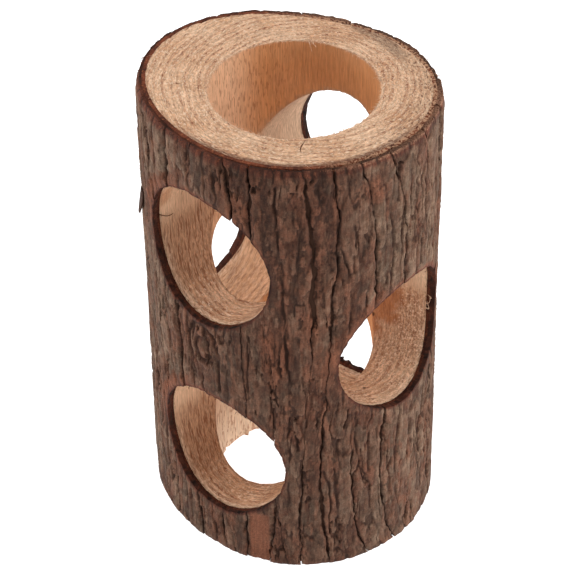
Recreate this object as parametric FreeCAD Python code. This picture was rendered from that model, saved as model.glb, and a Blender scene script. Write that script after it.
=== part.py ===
import FreeCAD, Part
import math
import os

from FreeCAD import Vector

# A hollow natural log with its bark left on: bored lengthwise and cross-drilled three
# times. Millimetres and degrees. Z is up, the sawn base lies on z = 0, and azimuths are
# counted from +X towards +Y.

# The log under its bark
log_height = 200.0
wood_radius = 52.0
oval_amount = 3.5          # the section is drawn out along the oval azimuth
oval_azimuth = 7.0
lobe_amount = 1.3          # and slightly three-cornered
lobe_azimuth = 56.0
log_centre_x = 1.5         # centre line at the base, which centres the bark on the origin
log_centre_y = 0.3
log_lean_x = -0.6          # shift of the top against the base
log_lean_y = -0.5
outline_points = 24

# The long bore, drilled a little off the centre line
bore_diameter = 65.0
bore_centre_x = 2.9        # at mid-height
bore_centre_y = 0.1
bore_rise_degrees = 0.5    # leans towards +X on its way up
bore_edge_ease = 0.6

# The cross holes go right through. Each has the azimuth that it opens to, its height on
# the centre line, how far it misses the centre line sideways, and its upward slope.
hole_diameter = 60.0
upper_hole_azimuth = -96.0
upper_hole_below_top = 51.5
upper_hole_sidestep = 0.9
upper_hole_slope = -1.7
middle_hole_azimuth = 0.0
middle_hole_height = 100.0
middle_hole_sidestep = -1.0
middle_hole_slope = 4.0
lower_hole_azimuth = -90.0
lower_hole_height = 52.0
lower_hole_sidestep = 0.3
lower_hole_slope = -1.0

# Bark
inner_bark_thickness = 1.6
inner_bark_hole_clearance = 0.6    # the inner bark stops this far outside a hole's edge
outer_bark_hole_clearance = 1.2    # and the outer bark this far
outer_bark_end_setback = 1.2       # the outer bark stops this far short of both sawn ends
outer_bark_bevel_height = 2.5      # and is eased over this height beyond that
outer_bark_lip = 0.8               # its thickness where the bevel ends
fissure_width = 1.2        # at the bottom
fissure_flare = 0.4        # each wall leans back this much for every millimetre of depth
groove_depth = 1.1         # a shallow groove runs down most of the strips
groove_width = 2.2         # at the bark's surface
smallest_plate_volume = 25.0       # cubic millimetres, crumbs under this have fallen off

# One row for each deep fissure: its azimuth at the base, at one and two thirds of the
# height and at the top, then the thickness of the outer bark that follows it, and how far
# across that strip its shallow groove lies, as a share of the strip's width (0 for none).
fissures = [
    (-117.0, -121.0, -127.0, -130.0, 2.9, 0.50),
    (-99.0, -106.0, -112.0, -113.5, 2.3, 0.55),
    (-84.0, -93.0, -98.0, -98.0, 2.6, 0.45),
    (-73.5, -73.0, -74.0, -81.0, 2.2, 0),
    (-64.5, -59.5, -64.5, -69.0, 2.7, 0.45),
    (-49.5, -48.0, -44.0, -48.0, 2.4, 0),
    (-37.0, -40.5, -36.0, -35.5, 2.8, 0.42),
    (-20.5, -27.0, -18.5, -25.5, 2.6, 0.50),
    (-6.0, -13.5, -4.0, -13.0, 3.0, 0.48),
    (8.0, 2.0, 11.5, 6.5, 2.5, 0.55),
    (24.0, 20.0, 25.0, 24.0, 2.9, 0.50),
    (43.0, 41.0, 45.0, 42.0, 2.3, 0.45),
    (62.0, 63.0, 60.0, 61.0, 2.8, 0.52),
    (79.0, 82.0, 80.0, 76.0, 2.5, 0.50),
    (98.0, 99.0, 96.0, 97.0, 3.1, 0.56),
    (118.0, 115.0, 117.0, 120.0, 2.4, 0.47),
    (136.0, 137.0, 134.0, 138.0, 2.7, 0.50),
    (156.0, 153.0, 157.0, 155.0, 2.2, 0.44),
    (173.0, 175.0, 172.0, 176.0, 2.9, 0.55),
    (193.0, 192.0, 195.0, 190.0, 2.5, 0.50),
    (213.0, 214.0, 211.0, 210.0, 2.8, 0.40),
]

# The flake that has sprung from the last strip: it holds at its top end
flake_azimuth = -141.0
flake_top = 153.5
flake_length = 11.0
flake_width = 5.0
flake_thickness = 1.3
flake_gap = 1.0            # how far its lower end stands off

# Worked out from the values above
bore_radius = bore_diameter / 2
hole_radius = hole_diameter / 2
reach = 2 * wood_radius    # from the centre line, well outside the bark
wall_reach = wood_radius / 6   # fissure walls and grooves are drawn this far out of the bark
heights = [0, log_height / 3, 2 * log_height / 3, log_height]


def direction(azimuth):
    angle = math.radians(azimuth)
    return Vector(math.cos(angle), math.sin(angle), 0)


def centre_at(z):
    share = z / log_height
    return Vector(log_centre_x + share * log_lean_x, log_centre_y + share * log_lean_y, z)


def log_radius(azimuth):
    oval = oval_amount * math.cos(math.radians(2 * (azimuth - oval_azimuth)))
    lobe = lobe_amount * math.cos(math.radians(3 * (azimuth - lobe_azimuth)))
    return wood_radius + oval + lobe


def log_outline(z, depth):
    """The log's closed outline at height z, depth outside the wood."""
    points = []
    for i in range(outline_points):
        azimuth = 360.0 * i / outline_points
        points.append(centre_at(z) + direction(azimuth) * (log_radius(azimuth) + depth))
    curve = Part.BSplineCurve()
    curve.interpolate(Points=points, PeriodicFlag=True)
    return Part.Wire([curve.toShape()])


def log_solid(depth):
    return Part.makeLoft([log_outline(0, depth), log_outline(log_height, depth)], True, True)


def bore_cut():
    """The long bore, with both mouths eased at 45 degrees."""
    slope = math.tan(math.radians(bore_rise_degrees))
    run = Vector(slope, 0, 1)
    middle = Vector(bore_centre_x, bore_centre_y, log_height / 2)
    base_end = middle - run * (log_height / 2)
    top_end = middle + run * (log_height / 2)
    axis = Vector(run)
    axis.normalize()
    cut = Part.makeCylinder(bore_radius, 3 * log_height, middle - axis * (1.5 * log_height), axis)
    for end, inwards in ((base_end, axis), (top_end, -axis)):
        start = end - inwards * bore_edge_ease
        wide = bore_radius + 2 * bore_edge_ease
        cut = cut.fuse(Part.makeCone(wide, bore_radius, 2 * bore_edge_ease, start, inwards))
    return cut


def hole_cut(azimuth, height, sidestep, slope, clearance):
    """One cross hole as a cylinder that runs out of the log on both sides."""
    side = direction(azimuth + 90)
    axis = direction(azimuth) + Vector(0, 0, math.tan(math.radians(slope)))
    axis.normalize()
    middle = centre_at(height) + side * sidestep
    return Part.makeCylinder(hole_radius + clearance, 2 * reach, middle - axis * reach, axis)


def hole_cuts(clearance):
    upper_hole_height = log_height - upper_hole_below_top
    upper = hole_cut(upper_hole_azimuth, upper_hole_height, upper_hole_sidestep,
                     upper_hole_slope, clearance)
    middle = hole_cut(middle_hole_azimuth, middle_hole_height, middle_hole_sidestep,
                      middle_hole_slope, clearance)
    lower = hole_cut(lower_hole_azimuth, lower_hole_height, lower_hole_sidestep,
                     lower_hole_slope, clearance)
    return [upper, middle, lower]


def wood_core():
    return log_solid(0).cut([bore_cut()] + hole_cuts(0))


def inner_bark():
    sleeve = log_solid(inner_bark_thickness).cut(log_solid(0))
    return sleeve.cut(hole_cuts(inner_bark_hole_clearance))


def wall_point(azimuth, z, depth, side):
    """A point on a fissure's wall, depth outside the inner bark."""
    radius = log_radius(azimuth) + inner_bark_thickness + depth
    away = fissure_width / 2 + fissure_flare * depth
    return centre_at(z) + direction(azimuth + side * math.degrees(away / radius)) * radius


def strip_wedge(first, second):
    """The space between two fissures, from inside the wood outwards."""
    wires = []
    for z, low, high in zip(heights, first, second):
        low_in = wall_point(low, z, -inner_bark_thickness, 1)
        low_out = wall_point(low, z, wall_reach, 1)
        high_out = wall_point(high, z, wall_reach, -1)
        high_in = wall_point(high, z, -inner_bark_thickness, -1)
        wires.append(Part.makePolygon([low_in, low_out, high_out, high_in, low_in]))
    return Part.makeLoft(wires, True, False)


def groove_cut(first, second, thickness, share):
    """The V-shaped groove in the strip between two fissures."""
    wires = []
    for z, low, high in zip(heights, first, second):
        azimuth = low + share * (high - low)
        floor = log_radius(azimuth) + inner_bark_thickness + thickness - groove_depth
        top = floor + wall_reach
        half = math.degrees(wall_reach * groove_width / 2 / groove_depth / top)
        apex = centre_at(z) + direction(azimuth) * floor
        start = centre_at(z) + direction(azimuth - half) * top
        end = centre_at(z) + direction(azimuth + half) * top
        wires.append(Part.makePolygon([apex, start, end, apex]))
    return Part.makeLoft(wires, True, False)


def bark_blank(depth):
    """The log out to the bark's surface, bevelled towards both sawn ends."""
    lip_depth = inner_bark_thickness + outer_bark_lip
    bevel_end = outer_bark_end_setback + outer_bark_bevel_height
    wires = [
        log_outline(outer_bark_end_setback, lip_depth),
        log_outline(bevel_end, depth),
        log_outline(log_height - bevel_end, depth),
        log_outline(log_height - outer_bark_end_setback, lip_depth),
    ]
    return Part.makeLoft(wires, True, True)


def bark_plates(row, following):
    """The outer bark between two fissures, in as many plates as the holes leave."""
    thickness, share = row[4:]
    blank = bark_blank(inner_bark_thickness + thickness)
    strip = blank.common(strip_wedge(row[:4], following[:4]))
    cuts = [log_solid(inner_bark_thickness)] + hole_cuts(outer_bark_hole_clearance)
    if share:
        cuts.append(groove_cut(row[:4], following[:4], thickness, share))
    strip = strip.cut(cuts)
    plates = [solid for solid in strip.Solids if solid.Volume > smallest_plate_volume]
    return sorted(plates, key=lambda solid: -solid.CenterOfMass.z)


def loose_flake():
    """A sliver on the last strip, touching it at its top and standing off below."""
    bark = inner_bark_thickness + fissures[-1][4]
    surface = log_radius(flake_azimuth) + bark
    foot = flake_top - flake_length
    outwards = direction(flake_azimuth)
    sideways = direction(flake_azimuth + 90)
    profile = [
        (surface - flake_thickness, flake_top),
        (surface + flake_thickness / 2, flake_top),
        (surface + flake_gap + flake_thickness, foot),
        (surface + flake_gap, foot),
    ]
    points = []
    for radius, z in profile:
        points.append(centre_at(z) + outwards * radius - sideways * (flake_width / 2))
    face = Part.Face(Part.makePolygon(points + points[:1]))
    return face.extrude(sideways * flake_width).cut(log_solid(bark))


def export(shape, node):
    solids = shape.Solids
    if not solids:
        raise ValueError(node + " has no solid")
    part = solids[0] if len(solids) == 1 else Part.makeCompound(solids)
    part.exportStep("parts/" + node + ".step")
    print("%-18s %9.1f cubic mm" % (node, part.Volume))


def build():
    os.makedirs("parts", exist_ok=True)
    export(wood_core(), "wood_core")
    export(inner_bark(), "inner_bark")
    first = fissures[0]
    closing_row = tuple(value + 360.0 for value in first[:4])
    following_rows = fissures[1:] + [closing_row]
    for i, (row, following) in enumerate(zip(fissures, following_rows)):
        for letter, plate in zip("abcdef", bark_plates(row, following)):
            export(plate, "bark_strip_%02d_%s" % (i + 1, letter))
    export(loose_flake(), "loose_bark_flake")


build()
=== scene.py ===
import math

import bpy
import numpy as np
from mathutils import Matrix, Vector


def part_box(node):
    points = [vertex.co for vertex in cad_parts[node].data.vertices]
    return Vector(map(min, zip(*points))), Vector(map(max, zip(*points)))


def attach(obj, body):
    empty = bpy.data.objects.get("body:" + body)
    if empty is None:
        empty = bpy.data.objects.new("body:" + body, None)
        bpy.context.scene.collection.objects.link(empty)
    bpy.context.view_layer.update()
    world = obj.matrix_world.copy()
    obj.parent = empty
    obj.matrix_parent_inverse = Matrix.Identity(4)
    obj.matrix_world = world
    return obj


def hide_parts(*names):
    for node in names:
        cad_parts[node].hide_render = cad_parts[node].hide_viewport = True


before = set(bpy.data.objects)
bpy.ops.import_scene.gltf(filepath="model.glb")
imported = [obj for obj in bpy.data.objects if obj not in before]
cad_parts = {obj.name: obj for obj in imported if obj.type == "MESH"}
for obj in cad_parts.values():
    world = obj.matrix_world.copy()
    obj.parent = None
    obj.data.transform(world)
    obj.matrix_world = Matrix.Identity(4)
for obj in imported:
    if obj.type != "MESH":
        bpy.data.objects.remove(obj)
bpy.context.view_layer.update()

# Lengths in the dictionaries are millimetres and angles are degrees, counted from +X
# towards +Y. skinMesh turns them into Blender's metres.

cameraSet = {
    "place": (0.44589, -0.59157, 0.70456),   # metres
    "looks": (-0.46665, 0.61926, -0.63147),
    "lens": 148.7,
    "sensor": 36.0,
    "clip": (0.05, 20.0),                    # metres
    "roll": -0.4765,
}


def addCamera(values):
    data = bpy.data.cameras.new("studioCamera")
    data.lens = values["lens"]
    data.sensor_width = values["sensor"]
    data.clip_start, data.clip_end = values["clip"]
    camera = bpy.data.objects.new("studioCamera", data)
    bpy.context.scene.collection.objects.link(camera)
    forward = Vector(values["looks"]).normalized()
    right = forward.cross(Vector((0, 0, 1))).normalized()
    up = right.cross(forward)
    roll = math.radians(values["roll"])
    turn = Matrix((right * math.cos(roll) + up * math.sin(roll),
                   up * math.cos(roll) - right * math.sin(roll),
                   -forward)).transposed()
    camera.matrix_world = Matrix.Translation(values["place"]) @ turn.to_4x4()
    bpy.context.scene.camera = camera


addCamera(cameraSet)
print("camera set")

# the log under its bark, the long bore and the three cross holes, as in the source
logShape = {
    "height": 200.0,
    "woodRadius": 52.0,
    "oval": 3.5, "ovalAzimuth": 7.0,
    "lobe": 1.3, "lobeAzimuth": 56.0,
    "foot": (1.5, 0.3),      # centre line at the base
    "lean": (-0.6, -0.5),    # shift of the top against the base
    "innerBark": 1.6,
    "pith": (7.0, 6.0),      # where the growth rings start
}

boreShape = {
    "radius": 32.5,
    "middle": (2.9, 0.1, 100.0),
    "rise": 0.5,             # leans towards +X on its way up
    "easedRim": 0.6,
    "tornFoot": (156.0, 18, 8),   # azimuth where fibres hang into its foot, and its fading
}

crossHoles = [
    {"name": "upperHole", "azimuth": -96.0, "height": 148.5, "sidestep": 0.9, "slope": -1.7,
     "fray": (0.35, 0.25),    # how far the bark is torn back, in front and behind
     "crumbs": 0.2},          # and how far it still reaches in, behind
    {"name": "middleHole", "azimuth": 0.0, "height": 100.0, "sidestep": -1.0, "slope": 4.0,
     "fray": (0.35, 0.3), "crumbs": 0.25},
    {"name": "lowerHole", "azimuth": -90.0, "height": 52.0, "sidestep": 0.3, "slope": -1.0,
     "fray": (0.45, 0.3), "crumbs": 1.7},
]
holeRadius = 30.0


# a repeatable value from -1 to 1 for each whole-number cell
def cellValue(ix, iy, iz, seed):
    mixed = (ix * 374761393 + iy * 668265263 + iz * 1274126177 + seed * 974634777) & 0xffffffff
    mixed = ((mixed ^ (mixed >> 13)) * 1103515245) & 0xffffffff
    mixed = ((mixed ^ (mixed >> 15)) * 668265263) & 0xffffffff
    return ((mixed ^ (mixed >> 16)) & 0xffff) / 32767.5 - 1.0


def noise(points, cell, seed):
    scaled = points / np.asarray(cell, float)
    base = np.floor(scaled).astype(np.int64)
    part = scaled - base
    part = part * part * (3 - 2 * part)
    total = 0.0
    for dx in (0, 1):
        wx = part[..., 0] if dx else 1 - part[..., 0]
        for dy in (0, 1):
            wy = part[..., 1] if dy else 1 - part[..., 1]
            for dz in (0, 1):
                wz = part[..., 2] if dz else 1 - part[..., 2]
                corner = cellValue(base[..., 0] + dx, base[..., 1] + dy, base[..., 2] + dz, seed)
                total = total + wx * wy * wz * corner
    return total


def layeredNoise(points, cell, seed, layers=3, gain=0.5):
    total = 0.0
    size = np.asarray(cell, float) * np.ones(3)
    for i in range(layers):
        total = total + gain ** i * noise(points, size, seed + 17 * i)
        size = size / 2.03
    return total


def ease(low, high, value):
    t = np.clip((value - low) / (high - low), 0, 1)
    return t * t * (3 - 2 * t)


def wrapped(difference):
    return (difference + 180.0) % 360.0 - 180.0


# 1 within inner degrees of an azimuth, fading to 0 at outer degrees
def sector(azimuth, middle, outer, inner):
    return ease(outer, inner, np.abs(wrapped(azimuth - middle)))


def aim(azimuth):
    angle = np.radians(azimuth)
    return np.array([np.cos(angle), np.sin(angle), 0.0])


def logCentre(z):
    share = np.asarray(z, float) / logShape["height"]
    x = logShape["foot"][0] + share * logShape["lean"][0]
    y = logShape["foot"][1] + share * logShape["lean"][1]
    return x, y


def logRadius(azimuth):
    oval = logShape["oval"] * np.cos(np.radians(2 * (azimuth - logShape["ovalAzimuth"])))
    lobe = logShape["lobe"] * np.cos(np.radians(3 * (azimuth - logShape["lobeAzimuth"])))
    return logShape["woodRadius"] + oval + lobe


def logPoints(azimuth, z, depth):
    azimuth, z, depth = np.broadcast_arrays(azimuth, z, depth)
    x, y = logCentre(z)
    radius = logRadius(azimuth) + depth
    angle = np.radians(azimuth)
    return np.stack([x + radius * np.cos(angle), y + radius * np.sin(angle), z], axis=-1)


# azimuth, and depth outside the wood
def barkPlace(points):
    x, y = logCentre(points[:, 2])
    dx, dy = points[:, 0] - x, points[:, 1] - y
    azimuth = np.degrees(np.arctan2(dy, dx))
    return azimuth, np.hypot(dx, dy) - logRadius(azimuth)


def holeFrame(hole):
    side = aim(hole["azimuth"] + 90)
    axis = aim(hole["azimuth"]) + np.array([0, 0, math.tan(math.radians(hole["slope"]))])
    axis = axis / np.linalg.norm(axis)
    x, y = logCentre(hole["height"])
    middle = np.array([float(x), float(y), hole["height"]]) + side * hole["sidestep"]
    return middle, axis, side, np.cross(axis, side)


# points seen from a cross hole's middle: how far along its axis, to its side, away from
# the axis and above the middle
def holeView(hole, points):
    middle, axis, side, up = holeFrame(hole)
    offset = points - middle
    sideways = offset @ side
    return offset @ axis, sideways, np.hypot(sideways, offset @ up), offset[..., 2]


# how far points lie from the nearest cross hole's axis
def holeDistance(points):
    nearest = np.full(points.shape[:-1], 1e6)
    for hole in crossHoles:
        nearest = np.minimum(nearest, holeView(hole, points)[2])
    return nearest


# how far the bore's axis has moved towards +X at a height
def boreShift(z):
    return math.tan(math.radians(boreShape["rise"])) * (z - boreShape["middle"][2])


def boreDistance(points):
    dx = points[..., 0] - boreShape["middle"][0] - boreShift(points[..., 2])
    return np.hypot(dx, points[..., 1] - boreShape["middle"][1])


# joins rings of points into one closed skin, with a fan over the first and the last ring
def ringSkin(rings):
    m, n = rings.shape[:2]
    flat = rings.reshape(-1, 3)
    points = np.concatenate([flat, rings[:1].mean(axis=1), rings[-1:].mean(axis=1)])
    i = np.arange(m - 1)[:, None] * n
    j = np.arange(n)
    k = (j + 1) % n
    quads = np.stack([i + j, i + k, i + n + k, i + n + j], axis=-1).reshape(-1, 4)
    last = (m - 1) * n
    firstFan = np.stack([k, j, np.full(n, m * n)], axis=-1)
    lastFan = np.stack([last + j, last + k, np.full(n, m * n + 1)], axis=-1)
    fans = np.concatenate([firstFan, lastFan])
    a, b, c = points[quads[:, 0]], points[quads[:, 1]], points[quads[:, 2]]
    d = points[quads[:, 3]]
    volume = (np.cross(a, b) * c).sum() + (np.cross(a, c) * d).sum()
    if volume < 0:
        quads, fans = quads[:, ::-1], fans[:, ::-1]
    return points, [quads, fans]


def skinMesh(name, points, faceSets):
    mesh = bpy.data.meshes.new(name)
    corners = np.concatenate([faces.ravel() for faces in faceSets]).astype(np.int32)
    sizes = np.concatenate([np.full(len(faces), faces.shape[1]) for faces in faceSets])
    starts = np.concatenate([[0], np.cumsum(sizes)[:-1]]).astype(np.int32)
    mesh.vertices.add(len(points))
    mesh.vertices.foreach_set("co", (points * 0.001).astype(np.float32).ravel())
    mesh.loops.add(len(corners))
    mesh.loops.foreach_set("vertex_index", corners)
    mesh.polygons.add(len(starts))
    mesh.polygons.foreach_set("loop_start", starts)
    mesh.update(calc_edges=True)
    mesh.validate()
    return mesh


def meshPoints(mesh):
    flat = np.empty(len(mesh.vertices) * 3, np.float32)
    mesh.vertices.foreach_get("co", flat)
    return flat.reshape(-1, 3).astype(float) * 1000


def meshNormals(mesh):
    flat = np.empty(len(mesh.vertices) * 3, np.float32)
    mesh.vertex_normals.foreach_get("vector", flat)
    return flat.reshape(-1, 3).astype(float)


# one value for each point, or one for all of them, under each name
def setMasks(mesh, **masks):
    for name, values in masks.items():
        layer = mesh.attributes.new(name, "FLOAT", "POINT")
        full = np.broadcast_to(values, len(mesh.vertices))
        layer.data.foreach_set("value", np.ascontiguousarray(full, dtype=np.float32))


def workObject(name, mesh):
    item = bpy.data.objects.new(name, mesh)
    bpy.context.scene.collection.objects.link(item)
    return item


# cuts the cutters out of a closed mesh and gives the new mesh
def carve(mesh, cutters):
    blank = workObject("blank", mesh)
    for cutter in cutters:
        cut = blank.modifiers.new("cut", "BOOLEAN")
        cut.operation = "DIFFERENCE"
        cut.solver = "MANIFOLD"
        cut.object = cutter
    bpy.context.view_layer.update()
    graph = bpy.context.evaluated_depsgraph_get()
    carved = bpy.data.meshes.new_from_object(blank.evaluated_get(graph))
    bpy.data.objects.remove(blank)
    return carved


def addPiece(name, mesh, material, nodes=()):
    mesh.materials.clear()
    mesh.materials.append(material)
    mesh.shade_smooth()
    mesh.set_sharp_from_angle(angle=math.radians(55))
    piece = workObject(name, mesh)
    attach(piece, "root")
    if nodes:
        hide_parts(*nodes)
    return piece


def linear(red, green, blue):
    shades = []
    for value in (red, green, blue):
        share = value / 255
        shades.append(share / 12.92 if share <= 0.04045 else ((share + 0.055) / 1.055) ** 2.4)
    return (*shades, 1.0)


# an input takes a value or another node's output
def plugIn(tree, item, inputs):
    item.location = (220 * (len(tree.nodes) % 12), -260 * (len(tree.nodes) // 12))
    for name, value in inputs.items():
        if isinstance(value, bpy.types.NodeSocket):
            tree.links.new(value, item.inputs[name])
        else:
            item.inputs[name].default_value = value
    return item.outputs


def addNode(tree, kind, inputs, **settings):
    item = tree.nodes.new(kind)
    for name, value in settings.items():
        setattr(item, name, value)
    return plugIn(tree, item, inputs)


def calc(tree, operation, first, second=0.0, third=0.0, clamp=False):
    values = {0: first, 1: second, 2: third}
    return addNode(tree, "ShaderNodeMath", values, operation=operation, use_clamp=clamp)[0]


def times(tree, first, second):
    return calc(tree, "MULTIPLY", first, second)


def scaled(tree, value, gain, base):
    return calc(tree, "MULTIPLY_ADD", value, gain, base)


def flipped(tree, value):
    return calc(tree, "SUBTRACT", 1.0, value)


def blend(tree, share, first, second):
    values = {0: share, 6: first, 7: second}
    return addNode(tree, "ShaderNodeMix", values, data_type="RGBA")[2]


# lays one colour over another, as far as share times amount says
def layOver(tree, under, over, share, amount):
    return blend(tree, times(tree, share, amount), under, over)


# a value stretched so that low becomes 0 and high becomes 1
def span(tree, value, low, high):
    values = {"Value": value, "From Min": low, "From Max": high}
    return addNode(tree, "ShaderNodeMapRange", values,
                   interpolation_type="SMOOTHSTEP")["Result"]


def vectorMath(tree, operation, first, second):
    return addNode(tree, "ShaderNodeVectorMath", {0: first, 1: second}, operation=operation)


# noise, put out as "Fac" or "Color"
def cloud(tree, place, scale, detail, roughness=0.5):
    return addNode(tree, "ShaderNodeTexNoise", {"Vector": place, "Scale": scale,
                                                "Detail": detail, "Roughness": roughness})


def readMasks(tree, *names):
    return [addNode(tree, "ShaderNodeAttribute", {}, attribute_name=name)["Fac"]
            for name in names]


# an input is given with its value, or with its kind where it has to be linked
def newGroup(name, inputs, outputs):
    tree = bpy.data.node_groups.new(name, "ShaderNodeTree")
    for label, value in inputs.items():
        kind = value if isinstance(value, str) else "Float"
        socket = tree.interface.new_socket(label, in_out="INPUT",
                                           socket_type="NodeSocket" + kind)
        if kind == "Float":
            socket.default_value = value
    for label, kind in outputs.items():
        tree.interface.new_socket(label, in_out="OUTPUT", socket_type="NodeSocket" + kind)
    start = tree.nodes.new("NodeGroupInput").outputs
    end = tree.nodes.new("NodeGroupOutput").inputs
    return tree, start, end


def useGroup(tree, group, inputs):
    item = tree.nodes.new("ShaderNodeGroup")
    item.node_tree = group
    return plugIn(tree, item, inputs)


# noise drawn out along the log: streaks on a side face, specks on a cross-cut
def fibreGroup():
    tree, start, end = newGroup(
        "fibreGrain", {"Place": "Vector", "Across": 900.0, "Along": 60.0, "Detail": 3.0,
                       "Low": 0.35, "High": 0.65},
        {"Height": "Float", "Mask": "Float"})
    scale = addNode(tree, "ShaderNodeCombineXYZ",
                    {0: start["Across"], 1: start["Across"], 2: start["Along"]})[0]
    grain = addNode(tree, "ShaderNodeTexNoise",
                    {"Vector": vectorMath(tree, "MULTIPLY", start["Place"], scale)[0],
                     "Scale": 1.0, "Detail": start["Detail"], "Roughness": 0.55,
                     "Distortion": 0.25})["Fac"]
    tree.links.new(grain, end["Height"])
    tree.links.new(span(tree, grain, start["Low"], start["High"]), end["Mask"])
    return tree


# small scattered flecks
def fleckGroup():
    tree, start, end = newGroup(
        "flecks", {"Place": "Vector", "Scale": 900.0, "Size": 0.3, "Softness": 0.12},
        {"Mask": "Float"})
    shift = cloud(tree, start["Place"], 700.0, 2.0)["Color"]
    shift = vectorMath(tree, "MULTIPLY", shift, (0.0012, 0.0012, 0.0012))[0]
    place = vectorMath(tree, "ADD", start["Place"], shift)[0]
    cells = addNode(tree, "ShaderNodeTexVoronoi", {"Vector": place, "Scale": start["Scale"]})
    high = calc(tree, "ADD", start["Size"], start["Softness"])
    gap = span(tree, cells["Distance"], start["Size"], high)
    tree.links.new(flipped(tree, gap), end["Mask"])
    return tree


# two colours in uneven patches
def mottleGroup():
    tree, start, end = newGroup(
        "mottle", {"Place": "Vector", "Scale": 60.0, "First": "Color", "Second": "Color",
                   "Low": 0.35, "High": 0.65},
        {"Color": "Color", "Mask": "Float"})
    patches = cloud(tree, start["Place"], start["Scale"], 5.0, 0.6)["Fac"]
    share = span(tree, patches, start["Low"], start["High"])
    tree.links.new(blend(tree, share, start["First"], start["Second"]), end["Color"])
    tree.links.new(share, end["Mask"])
    return tree


# darkens and lightens a colour by a value around one half
def shadeGroup():
    tree, start, end = newGroup(
        "shadeBy", {"Color": "Color", "Value": 0.5, "Amount": 0.3}, {"Color": "Color"})
    swing = times(tree, calc(tree, "SUBTRACT", start["Value"], 0.5), start["Amount"])
    result = addNode(tree, "ShaderNodeVectorMath",
                     {0: start["Color"], "Scale": scaled(tree, swing, 2.0, 1.0)},
                     operation="SCALE")[0]
    tree.links.new(result, end["Color"])
    return tree


fibreGrain = fibreGroup()
flecks = fleckGroup()
mottle = mottleGroup()
shadeBy = shadeGroup()


def grainAt(tree, place, across, along, detail=3.0, low=0.35, high=0.65):
    return useGroup(tree, fibreGrain, {"Place": place, "Across": across, "Along": along,
                                       "Detail": detail, "Low": low, "High": high})


def twoTone(tree, place, scale, first, second):
    values = {"Place": place, "Scale": scale, "First": first, "Second": second}
    return useGroup(tree, mottle, values)["Color"]


def shaded(tree, color, value, amount):
    values = {"Color": color, "Value": value, "Amount": amount}
    return useGroup(tree, shadeBy, values)["Color"]


def newMaterial(name):
    material = bpy.data.materials.new(name)
    material.use_nodes = True
    tree = material.node_tree
    tree.nodes.clear()
    out = tree.nodes.new("ShaderNodeOutputMaterial")
    shader = tree.nodes.new("ShaderNodeBsdfPrincipled")
    tree.links.new(shader.outputs[0], out.inputs["Surface"])
    place = tree.nodes.new("ShaderNodeTexCoord").outputs["Object"]
    return material, tree, shader, place


# what all the log's materials end with: colour, uneven roughness and bump
def finishShader(tree, shader, color, rough, height, values):
    least, more = values["roughness"]
    strength, distance = values["bump"]
    bump = addNode(tree, "ShaderNodeBump",
                   {"Height": height, "Strength": strength, "Distance": distance})[0]
    tree.links.new(color, shader.inputs["Base Color"])
    tree.links.new(scaled(tree, rough, more, least), shader.inputs["Roughness"])
    tree.links.new(bump, shader.inputs["Normal"])
    shader.inputs["Specular IOR Level"].default_value = values["specular"]


woodFinish = {
    "pale": linear(230, 190, 156),
    "tan": linear(208, 162, 126),
    # borePale is painted light on the bore's lit left side, and also the bore's colour low down
    "borePale": linear(232, 186, 147),
    "boreTan": linear(204, 140, 86),
    "boreFoot": linear(238, 213, 186),
    "holePale": linear(232, 200, 167),
    "holeTan": linear(184, 142, 110),
    "stripeTan": linear(238, 178, 126),
    "amber": linear(176, 106, 56),
    "ringBrown": linear(168, 106, 72),
    "speckBrown": linear(136, 78, 52),
    "veinBrown": linear(122, 68, 42),
    "dashBrown": linear(142, 84, 51),
    "grimeBrown": linear(112, 80, 60),
    "fibrePale": linear(250, 224, 196),
    # the stain's colour on the top face, also laid as painted shade on the upper hole's far wall
    "stainGrey": linear(150, 122, 100),
    "rindBrown": linear(98, 58, 41),
    # painted shade of small pits
    "pitDark": linear(70, 44, 26),
    "ringSpacing": 0.0027,               # metres
    "pits": [(25.5, 23.6, 84.4, 0.9), (41.5, -5.0, 73.0, 0.8), (-29.5, 11.0, 20.0, 0.7)],
    # the place each grain follows, its scales across and along, detail, low and high
    "grains": {
        "arcs": ("longArc", 1150.0, 55.0, 3.0, 0.35, 0.65),
        "dabs": ("shortArc", 2100.0, 230.0, 2.5, 0.3, 0.7),
        "specks": ("shortArc", 1500.0, 420.0, 2.5, 0.555, 0.62),
        "hairs": ("shortArc", 1900.0, 300.0, 1.5, 0.57, 0.63),
        "veins": ("longArc", 950.0, 60.0, 3.0, 0.53, 0.62),
        "lines": ("longArc", 2000.0, 120.0, 2.0, 0.50, 0.60),
        "streaks": ("straight", 900.0, 45.0, 3.0, 0.35, 0.65),
        "fine": ("straight", 2600.0, 150.0, 3.0, 0.3, 0.7),
        "dashes": ("straight", 1500.0, 270.0, 1.5, 0.55, 0.63),
        "squiggles": ("straight", 620.0, 210.0, 3.0, 0.53, 0.60),
    },
    # dotted places: low and high of the noise, amount and colour
    "dots": [(0.47, 0.38, 0.6, "veinBrown"), (0.56, 0.64, 0.7, "fibrePale")],
    "roughness": (0.62, 0.25),           # least, and what the grain adds
    "specular": 0.25,
    "bump": (0.8, 0.0006),               # strength, and distance in metres
}


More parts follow.
